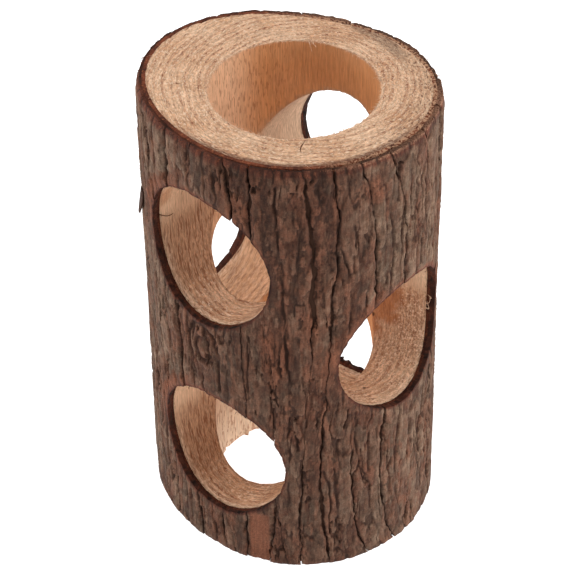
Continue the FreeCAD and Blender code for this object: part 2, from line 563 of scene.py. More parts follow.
# the place unrolled round the pith: out from it, along the growth ring, up the log
def aroundPith(tree, place, jitter):
    pith = [value / 1000 for value in logShape["pith"]]
    x, y, z = addNode(tree, "ShaderNodeSeparateXYZ", {0: place})
    dx, dy = calc(tree, "SUBTRACT", x, pith[0]), calc(tree, "SUBTRACT", y, pith[1])
    flat = addNode(tree, "ShaderNodeCombineXYZ", {0: dx, 1: dy})[0]
    radius = addNode(tree, "ShaderNodeVectorMath", {0: flat}, operation="LENGTH")["Value"]
    turn = calc(tree, "ARCTAN2", dy, dx)
    swell = cloud(tree, place, 26.0, 3.0)["Fac"]
    ringAt = scaled(tree, jitter, 0.0008, scaled(tree, swell, 0.0052, radius))
    places = {"straight": place}
    for name, length in (("longArc", 0.0050), ("shortArc", 0.0160)):
        along = times(tree, turn, length)
        places[name] = addNode(tree, "ShaderNodeCombineXYZ", {0: ringAt, 1: along, 2: z})[0]
    return ringAt, places, z


# 1 along the dark part of each growth ring
def growthRings(tree, ringAt, place, spacing):
    phase = calc(tree, "FRACT", calc(tree, "DIVIDE", ringAt, spacing))
    line = times(tree, span(tree, phase, 0.20, 0.75),
                 flipped(tree, span(tree, phase, 0.84, 0.99)))
    uneven = cloud(tree, place, 420.0, 2.0)["Fac"]
    return times(tree, line, span(tree, uneven, 0.32, 0.60))


def woodMaterial(values):
    material, tree, shader, place = newMaterial("sawnWood")
    endGrain, boreWall, stain, lip, weather, amber = readMasks(
        tree, "endGrain", "boreWall", "stain", "lip", "weather", "amber")
    rippled, bleached, hole, bored, stipple, rind, striped = readMasks(
        tree, "rippled", "bleached", "holeWall", "bored", "stipple", "rind", "striped")
    jitter = cloud(tree, place, 380.0, 2.0)["Fac"]
    torn = cloud(tree, place, 1100.0, 3.0, 0.65)["Fac"]
    ringAt, places, z = aroundPith(tree, place, jitter)
    ringLine = growthRings(tree, ringAt, places["longArc"], values["ringSpacing"])
    marks, heights = {}, {}
    for name, (follows, *numbers) in values["grains"].items():
        grain = grainAt(tree, places[follows], *numbers)
        marks[name], heights[name] = grain["Mask"], grain["Height"]
    tone = twoTone(tree, place, 60.0, values["pale"], values["tan"])

    # side faces
    # painted light: the bore's wall turns pale on its lit left side; it is also paler low down
    boreTone = blend(tree, bleached, values["boreTan"], values["borePale"])
    side = layOver(tree, tone, values["holePale"], bored, 0.6)
    side = layOver(tree, side, boreTone, boreWall, 0.85)
    foot = times(tree, boreWall, flipped(tree, span(tree, z, 0.020, 0.054)))
    side = blend(tree, foot, side, values["boreFoot"])
    side = layOver(tree, side, values["amber"], amber, 0.75)
    side = shaded(tree, side, marks["streaks"], 0.04)
    side = shaded(tree, side, marks["fine"], 0.15)
    side = layOver(tree, side, values["ringBrown"], marks["squiggles"], times(tree, foot, 0.6))
    side = layOver(tree, side, values["veinBrown"], marks["veins"],
                   scaled(tree, hole, 0.20, 0.03))
    ripple = times(tree, scaled(tree, rippled, 0.42, 0.05), scaled(tree, foot, -0.8, 1.0))
    side = layOver(tree, side, values["dashBrown"], marks["dashes"], ripple)

    # cross-cut faces
    cross = shaded(tree, tone, torn, 0.42)
    cross = shaded(tree, cross, marks["arcs"], 0.16)
    cross = shaded(tree, cross, marks["dabs"], 0.14)
    cross = layOver(tree, cross, values["ringBrown"], ringLine,
                    scaled(tree, bored, 0.22, 0.46))
    cross = layOver(tree, cross, values["veinBrown"], marks["veins"],
                    times(tree, bored, 0.30))
    cross = layOver(tree, cross, values["amber"], amber, 0.55)
    cross = layOver(tree, cross, values["speckBrown"], marks["specks"],
                    scaled(tree, ringLine, 0.78, 0.17))
    cross = layOver(tree, cross, values["fibrePale"], marks["hairs"], 0.6)

    # both, with what the holes, the saw and the weather have left on them, and painted shade on
    # the upper hole's far wall and in small pits
    color = blend(tree, endGrain, side, cross)
    color = layOver(tree, color, values["holeTan"], hole, 0.80)
    color = layOver(tree, color, values["amber"], amber, 0.60)
    color = shaded(tree, color, marks["dabs"], times(tree, hole, 0.24))
    lined = calc(tree, "ADD", times(tree, hole, 0.56), times(tree, bored, 0.12))
    color = layOver(tree, color, values["veinBrown"], marks["lines"], lined)
    color = layOver(tree, color, values["stripeTan"], striped, 0.4)
    banded = scaled(tree, ringLine, 0.42, times(tree, marks["veins"], 0.28))
    color = layOver(tree, color, values["veinBrown"], striped, banded)
    for low, high, amount, name in values["dots"]:
        dotted = span(tree, torn, low, high)
        color = layOver(tree, color, values[name], dotted, times(tree, stipple, amount))
    # a real stain on the top face, and painted shade greying the upper hole's far wall
    color = layOver(tree, color, values["stainGrey"], stain,
                    scaled(tree, marks["dabs"], 0.7, 0.3))
    color = layOver(tree, color, values["fibrePale"], lip, times(tree, marks["dabs"], 0.55))
    color = layOver(tree, color, values["grimeBrown"], weather,
                    scaled(tree, marks["specks"], 0.75, 0.25))
    color = layOver(tree, color, values["rindBrown"], rind,
                    scaled(tree, marks["dabs"], -0.35, 0.95))
    # painted shade: small pits, too small for the mesh, drawn as dark spots
    for x, y, up, size in values["pits"]:
        away = vectorMath(tree, "DISTANCE", place, (x / 1000, y / 1000, up / 1000))["Value"]
        away = scaled(tree, jitter, 0.0008, away)
        pit = flipped(tree, span(tree, away, 0.0003 + 0.0006 * size, 0.0006 + 0.0011 * size))
        color = layOver(tree, color, values["pitDark"], pit, 0.85)

    sideHeight = calc(tree, "ADD", times(tree, heights["streaks"], 0.08),
                      times(tree, heights["fine"], 0.5))
    veined = times(tree, marks["veins"], times(tree, hole, 0.5))
    for carved in (times(tree, marks["dashes"], 0.25), veined):
        sideHeight = calc(tree, "SUBTRACT", sideHeight, carved)
    crossHeight = calc(tree, "ADD", times(tree, torn, 0.55), times(tree, heights["dabs"], 0.8))
    crossHeight = calc(tree, "SUBTRACT", crossHeight, times(tree, marks["specks"], 0.5))
    height = addNode(tree, "ShaderNodeMix", {0: endGrain, 2: sideHeight, 3: crossHeight},
                     data_type="FLOAT")[0]
    finishShader(tree, shader, color, heights["fine"], height, values)
    return material


innerFinish = {
    "red": linear(124, 66, 44),
    "dark": linear(72, 37, 26),
    "fibre": linear(176, 108, 72),
    "sawn": linear(180, 138, 108),
    # deep is painted shade: the inner bark darkened where it is seen down in the fissures
    "deep": linear(72, 48, 36),      # down in the fissures
    "roughness": (0.75, 0.2),
    "specular": 0.15,
    "bump": (0.8, 0.0005),
}


def innerBarkMaterial(values):
    material, tree, shader, place = newMaterial("innerBark")
    sawn, tone, shown = readMasks(tree, "sawn", "tone", "shown")
    strands = grainAt(tree, place, 1500.0, 90.0)
    tufts = cloud(tree, place, 1100.0, 3.0)["Fac"]
    color = twoTone(tree, place, 140.0, values["red"], values["dark"])
    color = layOver(tree, color, values["fibre"], span(tree, tufts, 0.55, 0.7), 0.5)
    color = shaded(tree, color, strands["Mask"], 0.2)
    color = layOver(tree, color, values["sawn"], sawn, span(tree, tufts, 0.42, 0.56))
    color = shaded(tree, color, tone, 0.55)
    # painted shade: where the inner bark is not shown at a hole or an end, it lies down in the
    # fissures and takes the dark deep colour
    color = blend(tree, shown, values["deep"], color)
    height = calc(tree, "ADD", strands["Height"], tufts)
    finishShader(tree, shader, color, tufts, height, values)
    return material


barkFinish = {
    "red": linear(110, 71, 53),
    "redDark": linear(84, 52, 39),
    "grey": linear(125, 102, 84),
    "greyDark": linear(96, 73, 57),
    "rust": linear(119, 72, 51),
    # crack is the dark colour of the painted shade in hollows, cracks, flake steps and pits
    "crack": linear(58, 38, 29),
    "cut": linear(98, 54, 39),
    "cutDark": linear(82, 45, 33),
    "sawn": linear(176, 136, 108),
    "fleck": linear(176, 106, 72),
    "lichen": linear(166, 148, 130),
    "roughness": (0.68, 0.3),
    "specular": 0.2,
    "bump": (0.8, 0.0006),
}


def outerBarkMaterial(values):
    material, tree, shader, place = newMaterial("outerBark")
    hollow, grey, rust, tone, cut, sawn = readMasks(
        tree, "hollow", "grey", "rust", "tone", "cut", "sawn")
    strands = grainAt(tree, place, 1300.0, 120.0, 4.0, 0.32, 0.68)
    crumbs = cloud(tree, place, 1500.0, 4.0, 0.75)["Fac"]
    redTone = twoTone(tree, place, 150.0, values["redDark"], values["red"])
    greyTone = twoTone(tree, place, 210.0, values["greyDark"], values["grey"])
    patchy = useGroup(tree, mottle, {"Place": place, "Scale": 330.0, "Low": 0.4,
                                     "High": 0.6})["Mask"]
    greyShare = calc(tree, "ADD", times(tree, grey, 0.8), scaled(tree, patchy, 0.28, -0.1),
                     clamp=True)
    color = blend(tree, greyShare, redTone, greyTone)
    rusty = calc(tree, "MULTIPLY", rust, scaled(tree, crumbs, 1.6, -0.1), clamp=True)
    color = blend(tree, rusty, color, values["rust"])
    color = shaded(tree, color, strands["Mask"], 0.14)
    color = shaded(tree, color, crumbs, 0.62)

    # thin flakes that end in small steps, with painted shade along each step's edge and in small
    # pits
    flakes = grainAt(tree, place, 520.0, 150.0, 5.0)["Height"]
    terrace = calc(tree, "FRACT", times(tree, flakes, 11.0))
    color = shaded(tree, color, terrace, 0.08)
    rim = flipped(tree, span(tree, terrace, 0.0, 0.16))
    color = layOver(tree, color, values["crack"], rim, 0.20)
    pits = useGroup(tree, flecks, {"Place": place, "Scale": 620.0, "Size": 0.16})["Mask"]
    color = layOver(tree, color, values["crack"], pits, 0.3)
    # pale specks
    color = layOver(tree, color, values["lichen"], span(tree, crumbs, 0.60, 0.70), 0.22)

    # cut bark
    flat = twoTone(tree, place, 600.0, values["cutDark"], values["cut"])
    flat = layOver(tree, flat, values["sawn"], sawn, span(tree, crumbs, 0.42, 0.56))
    flat = layOver(tree, flat, values["fleck"], span(tree, crumbs, 0.56, 0.64), 0.28)
    color = blend(tree, cut, color, flat)
    # the tone mask brings in the tint map's painted shade and highlight
    color = shaded(tree, color, tone, 0.48)
    # painted shade: hollows darkened to the crack colour
    sunk = calc(tree, "MULTIPLY", hollow, scaled(tree, crumbs, -1.2, 1.45), clamp=True)
    color = blend(tree, sunk, color, values["crack"])
    height = calc(tree, "ADD", times(tree, strands["Height"], 0.7), times(tree, crumbs, 0.8))
    height = calc(tree, "SUBTRACT", height, times(tree, terrace, 0.12))
    finishShader(tree, shader, color, crumbs, height, values)
    return material


wood = woodMaterial(woodFinish)
innerBark = innerBarkMaterial(innerFinish)
outerBark = outerBarkMaterial(barkFinish)
print("materials made")

cutterGrid = {
    "boreTurns": 330, "boreStep": 2.6,
    "holeTurns": 300, "holeStep": 1.15,
    "holeRough": (0.06, 0.24),           # along the side grain and across the end grain
}


def boreCutter(radius, seed):
    rows = np.concatenate([np.linspace(-8, -1, 3), np.arange(0, 6, 0.5),
                           np.arange(6, 196, cutterGrid["boreStep"]), np.arange(196, 200.7, 0.3),
                           [204.0, 212.0]])
    turn = np.linspace(0, 2 * math.pi, cutterGrid["boreTurns"], endpoint=False)[None, :]
    z = rows[:, None]
    cx, cy = boreShape["middle"][0] + boreShift(z), boreShape["middle"][1]

    def roundAt(wide):
        return np.stack(np.broadcast_arrays(cx + wide * np.cos(turn), cy + wide * np.sin(turn),
                                            z + 0 * turn), axis=-1)

    rough = roundAt(radius)
    torn = 0.35 * noise(rough, (5, 5, 5), seed + 3) + 0.6 * noise(rough, (1.3, 1.3, 9), seed + 4)
    eased = boreShape["easedRim"] * (1 + torn)
    wide = radius + 0.035 * layeredNoise(rough, (1.1, 1.1, 24), seed)
    wide = wide + 0.10 * layeredNoise(rough, (9, 9, 60), seed + 1)
    wide = wide + np.clip(z - (199.85 - eased), 0, 9)
    ragged = np.clip(layeredNoise(rough, (2.2, 2.2, 3), seed + 2), 0, 1)
    hanging = sector(np.degrees(turn), *boreShape["tornFoot"])
    wide = wide + (1.4 - 4.0 * hanging) * ragged * ease(3.6, 0.0, z)
    return roundAt(wide)


def holeRings(hole, radius, seed, lipShare):
    middle, axis, side, up = holeFrame(hole)
    sideRough, endRough = cutterGrid["holeRough"]
    step = cutterGrid["holeStep"]
    near = np.arange(22, 62, step)
    along = np.concatenate([[-80, -70], -near[::-1], np.arange(-20, 21, 4), near, [70, 80]])
    turn = np.linspace(0, 2 * math.pi, cutterGrid["holeTurns"], endpoint=False)
    outwards = np.cos(turn)[:, None] * side + np.sin(turn)[:, None] * up
    spine = middle + along[:, None] * axis
    smooth = spine[:, None, :] + radius * outwards
    endOn = np.abs(outwards[:, 2]) ** 2
    wide = radius + sideRough * layeredNoise(smooth, (1.2, 1.2, 14), seed)
    wide = wide + endRough * endOn * layeredNoise(smooth, (1.3, 1.3, 5), seed + 5)
    azimuth, depth = barkPlace(smooth.reshape(-1, 3))
    depth = depth.reshape(wide.shape)
    frayed = np.clip(layeredNoise(smooth, (1.6, 1.6, 1.6), seed + 9), 0, 1)
    front, back = hole["fray"]
    lip = np.where(along > 0, front, back)[:, None] * lipShare
    crumbs = np.clip(0.25 + layeredNoise(smooth, (1.7, 1.7, 1.7), seed + 12), 0, 1)
    crumbs = crumbs * ease(-0.2, -0.6, outwards[:, 2]) * hole["crumbs"] * lipShare
    crumbs = crumbs * np.where(along > 0, 0.0, 1.0)[:, None]
    wide = wide + (lip * frayed - crumbs) * ease(-1.0, 1.2, depth)
    return spine[:, None, :] + wide[..., None] * outwards


# a thin crack, drawn as a line of points on the top face
def splitCutter(line, width, deep, seed):
    line = np.array(line)
    share = np.linspace(0, 1, 14)
    reach = np.concatenate([[0], np.cumsum(np.linalg.norm(np.diff(line, axis=0), axis=1))])
    reach = reach / reach[-1]
    x, y = np.interp(share, reach, line[:, 0]), np.interp(share, reach, line[:, 1])
    run = np.stack([np.gradient(x), np.gradient(y)], axis=-1)
    run = run / np.linalg.norm(run, axis=1)[:, None]
    across = np.stack([-run[:, 1], run[:, 0]], axis=-1)
    wobble = 0.16 * noise(np.stack([x, y, 0 * x], axis=-1), 1.3, seed)[:, None]
    half = (width / 2 * (0.12 + np.sin(math.pi * share) ** 0.6))[:, None]
    mid = np.stack([x, y], axis=-1) + across * wobble
    left, right = mid + across * half, mid - across * half
    face = logShape["height"]
    low, high = np.full((14, 1), face - deep), np.full((14, 1), face + 1)
    return np.stack([np.hstack([left, low]), np.hstack([right, low]),
                     np.hstack([right, high]), np.hstack([left, high])], axis=1)


def cutterObject(name, rings):
    return workObject(name, skinMesh(name, *ringSkin(rings)))


def holeCutters(label, radius, lipShare):
    return [cutterObject(hole["name"] + label, holeRings(hole, radius, 31 + 40 * i, lipShare))
            for i, hole in enumerate(crossHoles)]


woodDetail = {
    "turns": 610,
    "topStep": 0.6,
    "sawRough": 0.14,
    "ringRelief": 0.16,
    "pitDeep": 0.35,
    "splits": [
        {"line": [(30.0, -31.8), (28.2, -28.6), (27.1, -24.8)], "width": 0.55, "deep": 2.2},
        {"line": [(-35.0, -24.7), (-32.6, -23.0)], "width": 0.8, "deep": 0.9},
        {"line": [(-3.6, -40.4), (-2.5, -39.3), (-1.2, -39.0)], "width": 1.0, "deep": 0.5},
    ],
    # the stain on the top face; the same mask carries painted shade on the upper hole's far wall
    "stain": (77.0, 48.0, 20.0, 3.4),    # azimuth and radius of its middle, then its reach
    # middle, reach and strength
    "amber": [((28.5, 25.5, 88.0), 8.5, 1.0), ((33.5, 27.5, 95.0), 6.5, 0.9),
              ((31.5, 28.0, 86.0), 7.5, 1.0), ((27.0, 20.5, 81.0), 5.5, 0.9),
              ((31.5, 22.0, 78.5), 5.5, 0.7), ((28.5, 15.5, 77.0), 3.2, 0.8),
              ((3.8, -24.4, 118.1), 2.6, 1.0), ((-31.0, -38.0, 157.0), 7.0, 0.4),
              ((-27.0, -39.0, 66.0), 6.0, 0.2)],
    # sides of the log: azimuth, where the effect has faded out and where it is full
    # bleachedSide places painted light on the bore's left wall
    "rippledSide": (195, 84, 48), "bleachedSide": (200, 58, 22),
    "rindSide": (-50, 75, 35), "grimySide": (35, 75, 30),
}


def woodBlank(values):
    azimuth = np.linspace(0, 360, values["turns"], endpoint=False)
    edge = logRadius(azimuth)
    rings = []
    for share in (0.45, 0.55, 0.62, 0.70, 0.80, 0.90, 1.0):
        rings.append(logPoints(azimuth, 0.0, edge * (share - 1)))
    for z in np.linspace(8, 192, 24):
        rings.append(logPoints(azimuth, z, 0.0))
    # the sawn top face, only as far inwards as the bore leaves it
    for share in np.linspace(1.0, 0.48, int(27 / values["topStep"])):
        ring = logPoints(azimuth, logShape["height"], edge * (share - 1))
        fromPith = np.hypot(ring[:, 0] - logShape["pith"][0], ring[:, 1] - logShape["pith"][1])
        rings.append(ring)
        rough = 0.5 + 0.5 * layeredNoise(ring, 1.0, 11)
        pits = ease(0.35, 0.8, noise(ring, 1.5, 12))
        wave = 0.5 + 0.5 * np.sin(2 * math.pi * fromPith / (1000 * woodFinish["ringSpacing"]))
        drop = values["sawRough"] * rough + values["pitDeep"] * pits
        drop = drop + values["ringRelief"] * wave
        drop = drop + 0.10 * (1 + noise(ring, (14, 3, 9), 13))
        ring[:, 2] = 199.92 - np.clip(drop, 0, 1.2)
    return ringSkin(np.stack(rings))


# the masks that the wood's material reads, each from 0 to 1
def paintWood(mesh, values):
    points, normals = meshPoints(mesh), meshNormals(mesh)
    z, slant = points[:, 2], normals[:, 2]
    azimuth, depth = barkPlace(points)
    boreGap = boreDistance(points) - boreShape["radius"]
    onBore = ease(1.2, 0.2, boreGap)
    inHole = ease(1.2, 0.2, holeDistance(points) - holeRadius)
    blotch = layeredNoise(points, 3.0, 71)
    top = ease(197.5, 199.2, z)

    # the middle hole is dotted below its mouth and banded at its far end
    along, sideways, fromAxis, above = holeView(crossHoles[1], points)
    inMiddle = ease(1.2, 0.2, fromAxis - holeRadius)
    stippled = inMiddle * ease(30, 38, along) * ease(6, -4, above)
    stippled = stippled * ease(-27.5, -23.0, above - 3 * noise(points, 5.0, 72))
    farMiddle = inMiddle * ease(-20, -30, along)
    # the far wall of the upper hole, which gets painted shade
    farUpper = inHole * ease(5, 20, points[:, 1]) * ease(110, 120, z)

    endGrain = np.maximum(ease(0.25, 0.85, np.abs(slant)), 0.9 * stippled)
    # painted light on the bore's lit left side, and paler low down
    bleached = np.maximum(sector(azimuth, *values["bleachedSide"]), ease(54, 20, z))
    stainAz, stainR, reachAz, reachR = values["stain"]
    spread = np.hypot(wrapped(azimuth - stainAz) / reachAz,
                      (np.hypot(points[:, 0], points[:, 1]) - stainR) / reachR)
    dark = (0.10 + 0.90 * ease(-0.02, 0.32, slant)) * ease(0.96, 0.80, np.abs(slant))
    dark = dark * (1 - 0.5 * inMiddle) * (1 - farUpper)
    amber = np.zeros(len(points))
    for middle, reach, strength in values["amber"]:
        away = np.linalg.norm(points - middle, axis=1) / reach + 0.35 * blotch
        amber = np.maximum(amber, strength * ease(1.1, 0.3, away))
    lip = 0.5 * top * ease(1.3, 0.5, boreGap) * ease(-0.2, 0.3, boreGap)
    mouth = inHole * ease(-3.4, -1.0, depth + 0.8 * blotch) * ease(0.1, 0.6, slant)
    farLip = 0.5 * farMiddle * ease(0.2, 0.6, slant)
    rim = ease(-1.2, 0.2, depth + 0.5 * blotch) * (1 - 0.5 * top)
    grimy = 0.75 * top * sector(azimuth, *values["grimySide"]) * ease(-13, -1.5, depth)
    setMasks(
        mesh, stipple=stippled, striped=farMiddle,
        endGrain=np.maximum(endGrain, top * ease(1.2, 2.0, boreGap)),
        boreWall=onBore * ease(199.8, 199.0, z),
        rippled=onBore * sector(azimuth, *values["rippledSide"]),
        bleached=onBore * bleached,
        # painted shade: the far wall of the upper hole, deep inside, greyed and darkened, beside
        # the real stain on the top face
        stain=np.maximum(ease(1.15, 0.55, spread + 0.3 * blotch) * top,
                         0.6 * farUpper * ease(0.6, 0.2, slant)),
        bored=inHole * (1 - 0.85 * stippled), holeWall=inHole * dark, amber=amber,
        lip=np.maximum(lip, np.maximum(mouth, farLip)),
        rind=(top * sector(azimuth, *values["rindSide"])
              * ease(-2.3, -1.1, depth + 0.35 * blotch)),
        weather=np.maximum(rim, grimy))


def buildWood(values):
    cutters = [cutterObject("boreCutter", boreCutter(boreShape["radius"], 21))]
    cutters += holeCutters("Cutter", holeRadius, 0.5)
    for i, split in enumerate(values["splits"]):
        rings = splitCutter(split["line"], split["width"], split["deep"], 61 + i)
        cutters.append(cutterObject("splitCutter%d" % i, rings))
    mesh = carve(skinMesh("woodBlank", *woodBlank(values)), cutters)
    for cutter in cutters:
        bpy.data.objects.remove(cutter)
    paintWood(mesh, values)
    return addPiece("woodBody", mesh, wood, ["wood_core"])


woodBody = buildWood(woodDetail)
print("wood carved:", len(woodBody.data.vertices), "points")

# Each deep fissure: its azimuth at the base, at one and two thirds of the height and at
# the top, then the thickness of the outer bark that follows it.
fissures = [
    (-117.0, -121.0, -127.0, -130.0, 2.9),
    (-99.0, -106.0, -112.0, -113.5, 2.3),
    (-84.0, -93.0, -98.0, -98.0, 2.6),
    (-73.5, -73.0, -74.0, -81.0, 2.2),
    (-64.5, -59.5, -64.5, -69.0, 2.7),
    (-49.5, -48.0, -44.0, -48.0, 2.4),
    (-37.0, -40.5, -36.0, -35.5, 2.8),
    (-20.5, -27.0, -18.5, -25.5, 2.6),
    (-6.0, -13.5, -4.0, -13.0, 3.0),
    (8.0, 2.0, 11.5, 6.5, 2.5),
    (24.0, 20.0, 25.0, 24.0, 2.9),
    (43.0, 41.0, 45.0, 42.0, 2.3),
    (62.0, 63.0, 60.0, 61.0, 2.8),
    (79.0, 82.0, 80.0, 76.0, 2.5),
    (98.0, 99.0, 96.0, 97.0, 3.1),
    (118.0, 115.0, 117.0, 120.0, 2.4),
    (136.0, 137.0, 134.0, 138.0, 2.7),
    (156.0, 153.0, 157.0, 155.0, 2.2),
    (173.0, 175.0, 172.0, 176.0, 2.9),
    (193.0, 192.0, 195.0, 190.0, 2.5),
    (213.0, 214.0, 211.0, 210.0, 2.8),
]

barkGrid = {"columns": 1260, "rows": 561, "radius": 56.0, "seed": 7}
girth = 2 * math.pi * barkGrid["radius"]     # along the bark
perDegree = girth / 360                      # millimetres of bark for each degree

fissureShape = {
    "gap": 0.16,             # at its narrowest
    "opens": 1.2,            # how much wider it gets in places
    "wobble": 0.85,
    "ragged": 0.42,
    "edgeDrop": 0.95,        # how far a plate's edge is rounded down to it
    "edgeWidth": 1.5,
}
# fissure: from and to which height it is wider, and by how much
wideFissures = {5: (128.0, 192.0, 1.1), 3: (150.0, 196.0, 0.5), 0: (140.0, 196.0, 1.0)}
# fissure: from and to which height it is nearly closed
closedFissures = {4: (45.0, 135.0), 3: (30.0, 145.0), 5: (55.0, 118.0), 2: (88.0, 120.0),
                  6: (86.0, 112.0), 7: (60.0, 96.0), 8: (150.0, 185.0), 9: (20.0, 45.0),
                  12: (60.0, 130.0), 16: (100.0, 160.0), 18: (20.0, 70.0)}
# fissure bent aside where it would leave a sliver beside a hole: shift, from and to which
# height
bentFissures = {15: (-3.5, 131.0, 167.0), 20: (-2.5, 82.0, 118.0), 0: (2.2, 132.0, 165.0)}
# how far across each plate its long groove runs, 0 for none
grooveShares = (0.50, 0.55, 0.45, 0, 0.45, 0, 0.42, 0.50, 0.48, 0.55, 0.50,
                0.45, 0.52, 0.50, 0.56, 0.47, 0.50, 0.44, 0.55, 0.50, 0.40)

# rounded plates that lie over each other, from the lowest layer up
scaleLayers = [
    {"wide": 7.0, "tall": 38.0, "missing": 0.10, "low": -1.15, "high": -0.70},
    {"wide": 5.5, "tall": 24.0, "missing": 0.25, "low": -0.95, "high": -0.35},
    {"wide": 4.5, "tall": 15.0, "missing": 0.40, "low": -0.75, "high": -0.20},
    {"wide": 3.0, "tall": 8.0, "missing": 0.55, "low": -0.70, "high": -0.15},
    {"wide": 2.0, "tall": 4.5, "missing": 0.75, "low": -0.60, "high": -0.10},
]

# flaking sheets: cell size, seed, steps and the height of each step
flakeSheets = [((4.5, 4.5, 22.0), 121, 3.0, 0.08), ((2.2, 2.2, 8.0), 122, 2.0, 0.04)]

# single grey plates: azimuth and height of the middle, half width, half length, top
lonePlates = [
    (-30.0, 167.0, 3.4, 18.0, -0.15), (-17.5, 172.0, 3.3, 13.5, -0.2),
    (-31.0, 41.0, 3.2, 21.0, -0.1), (-36.0, 138.0, 3.4, 9.0, -0.25),
    (-8.5, 142.0, 3.2, 8.0, -0.3), (-55.0, 40.0, 4.2, 22.0, -0.2),
    (-2.0, 180.0, 4.2, 16.0, -0.2), (-118.0, 170.0, 3.0, 20.0, -0.2),
    (-88.0, 180.0, 2.8, 12.0, -0.2), (14.0, 172.0, 4.4, 24.0, -0.1),
    (-143.0, 32.0, 3.6, 24.0, 0.0), (-144.5, 84.0, 3.6, 24.0, 0.0),
    (-142.5, 130.0, 3.4, 22.0, -0.1), (38.0, 132.0, 4.0, 34.0, 0.0),
]

# shallower cracks: points of azimuth and height, then width and depth
handCracks = [
    ([(-34.5, 170), (-33.5, 165), (-30.5, 150), (-29.5, 140), (-27.5, 131)], 0.8, 1.3),
    ([(-58, 200), (-58.6, 190), (-59, 180)], 0.8, 1.2),
    ([(-55, 133), (-54.2, 118), (-55.6, 100), (-56, 80)], 0.7, 1.1),
    ([(-71.3, 125), (-70.8, 105), (-71.3, 85)], 0.6, 0.9),
    ([(-123, 118), (-122.6, 100)], 0.8, 1.2),
    ([(-99, 118), (-98.6, 103), (-99, 85)], 0.7, 1.0),
    ([(11, 72), (13, 55), (15, 40), (19, 20), (22, 10)], 0.9, 1.4),
    ([(-106, 22), (-106, 16)], 1.2, 1.2),
    ([(-14, 75), (-13, 60), (-12, 45), (-11, 35), (-8, 20)], 0.8, 1.2),
    ([(-28, 75), (-26, 60), (-24, 45), (-22, 35), (-21, 20)], 0.7, 1.2),
    ([(-41, 62), (-38, 40), (-38, 5)], 0.7, 1.1),
    ([(0, 47), (0.6, 36)], 0.6, 0.9),
    ([(7.5, 38), (12, 20)], 0.6, 0.9),
    ([(-113, 196), (-114, 182)], 1.4, 1.6),
    ([(-99.5, 200), (-99.5, 185)], 0.8, 1.0),
    ([(-80, 195), (-75, 182)], 0.7, 1.0),
    ([(-104, 118), (-99, 85)], 0.8, 1.2),
    ([(-120, 88), (-120.5, 72)], 1.5, 1.4),
    ([(-98.5, 24), (-98.5, 5)], 0.8, 1.1),
    ([(-136, 200), (-137, 150), (-135, 95)], 0.9, 1.5),
    ([(-131, 112), (-132, 60), (-130, 18)], 0.9, 1.5),
    ([(-148, 185), (-147, 120), (-148, 60)], 0.8, 1.2),
    ([(-126, 62), (-125, 30), (-126, 8)], 0.9, 1.4),
    ([(-122, 190), (-121, 176)], 1.2, 1.6),
    ([(-128, 196), (-127, 165)], 1.1, 1.5),
]

loneCracks = {"count": 230, "seed": 5, "wide": (0.2, 0.6), "deep": (0.25, 0.9),
              "foot": (-20, 190), "tall": (4.0, 30.0), "drift": 1.6}

# close fine lines: azimuth and half width of the field, lowest and highest point, count
lineFields = [
    (4.0, 11.0, 122.0, 200.0, 15), (-119.0, 9.0, 96.0, 200.0, 9), (-120.0, 9.0, 0.0, 92.0, 8),
    (14.0, 10.0, 0.0, 84.0, 11), (-78.0, 4.0, 178.0, 200.0, 3), (-104.0, 5.0, 84.0, 120.0, 6),
    (60.0, 14.0, 20.0, 110.0, 9), (150.0, 16.0, 60.0, 180.0, 12),
]

# reddish areas: azimuth and height of the middle, then their half sizes
rustAreas = [
    (-59.0, 112.0, 8.0, 20.0), (-45.0, 127.0, 5.0, 12.0), (-75.0, 175.0, 9.0, 14.0),
    (-20.0, 186.0, 6.0, 9.0), (-95.0, 150.0, 5.0, 16.0), (-69.0, 14.0, 4.4, 15.0),
    (20.0, 96.0, 6.0, 30.0), (120.0, 60.0, 14.0, 26.0), (170.0, 140.0, 16.0, 22.0),
    (80.0, 150.0, 12.0, 20.0), (-64.0, 60.0, 5.0, 14.0),
]

knot = {"azimuth": -94.5, "height": 104.0, "wide": 8.5, "tall": 12.0}

# strip at the base without outer bark; each pair says where it has ended and where it is
# full, across and up, in the outer bark and in the layer under it
bareStrip = {"azimuth": -67.9, "wide": (4.9, 3.9), "tall": (30, 24),
             "wideUnder": (6.5, 4.5), "tallUnder": (34, 26), "tint": 0.72}

# azimuth, where the effect has faded out and where it is full; the first is the side that gets
# painted shade
darkSide = (-58, 46, 24)
sawnSide = (45, 100, 55)     # the saw has left the bark's end lighter here


def fissureAzimuth(row, z):
    share = np.array([0.0, 1 / 3, 2 / 3, 1.0]) * logShape["height"]
    return np.polyval(np.polyfit(share, row[:4], 3), z)


# wandering of a line over the bark, in degrees
def wander(z, seed, amount):
    z = np.asarray(z, float)
    path = np.stack([0 * z + seed * 7.3, 0 * z, z], axis=-1)
    return (layeredNoise(path, (1, 1, 11.0), 90 + seed, 5, 0.62) * amount) / perDegree


def fissureLine(index, z):
    row = fissures[index % len(fissures)]
    turn = 360.0 * (index // len(fissures))
    seed = index % len(fissures)
    line = fissureAzimuth(row, z) + wander(z, seed, fissureShape["wobble"]) + turn
    if seed in bentFissures:
        shift, low, high = bentFissures[seed]
        line = line + shift * ease(low - 8, low + 3, z) * ease(high + 8, high - 3, z)
    return line


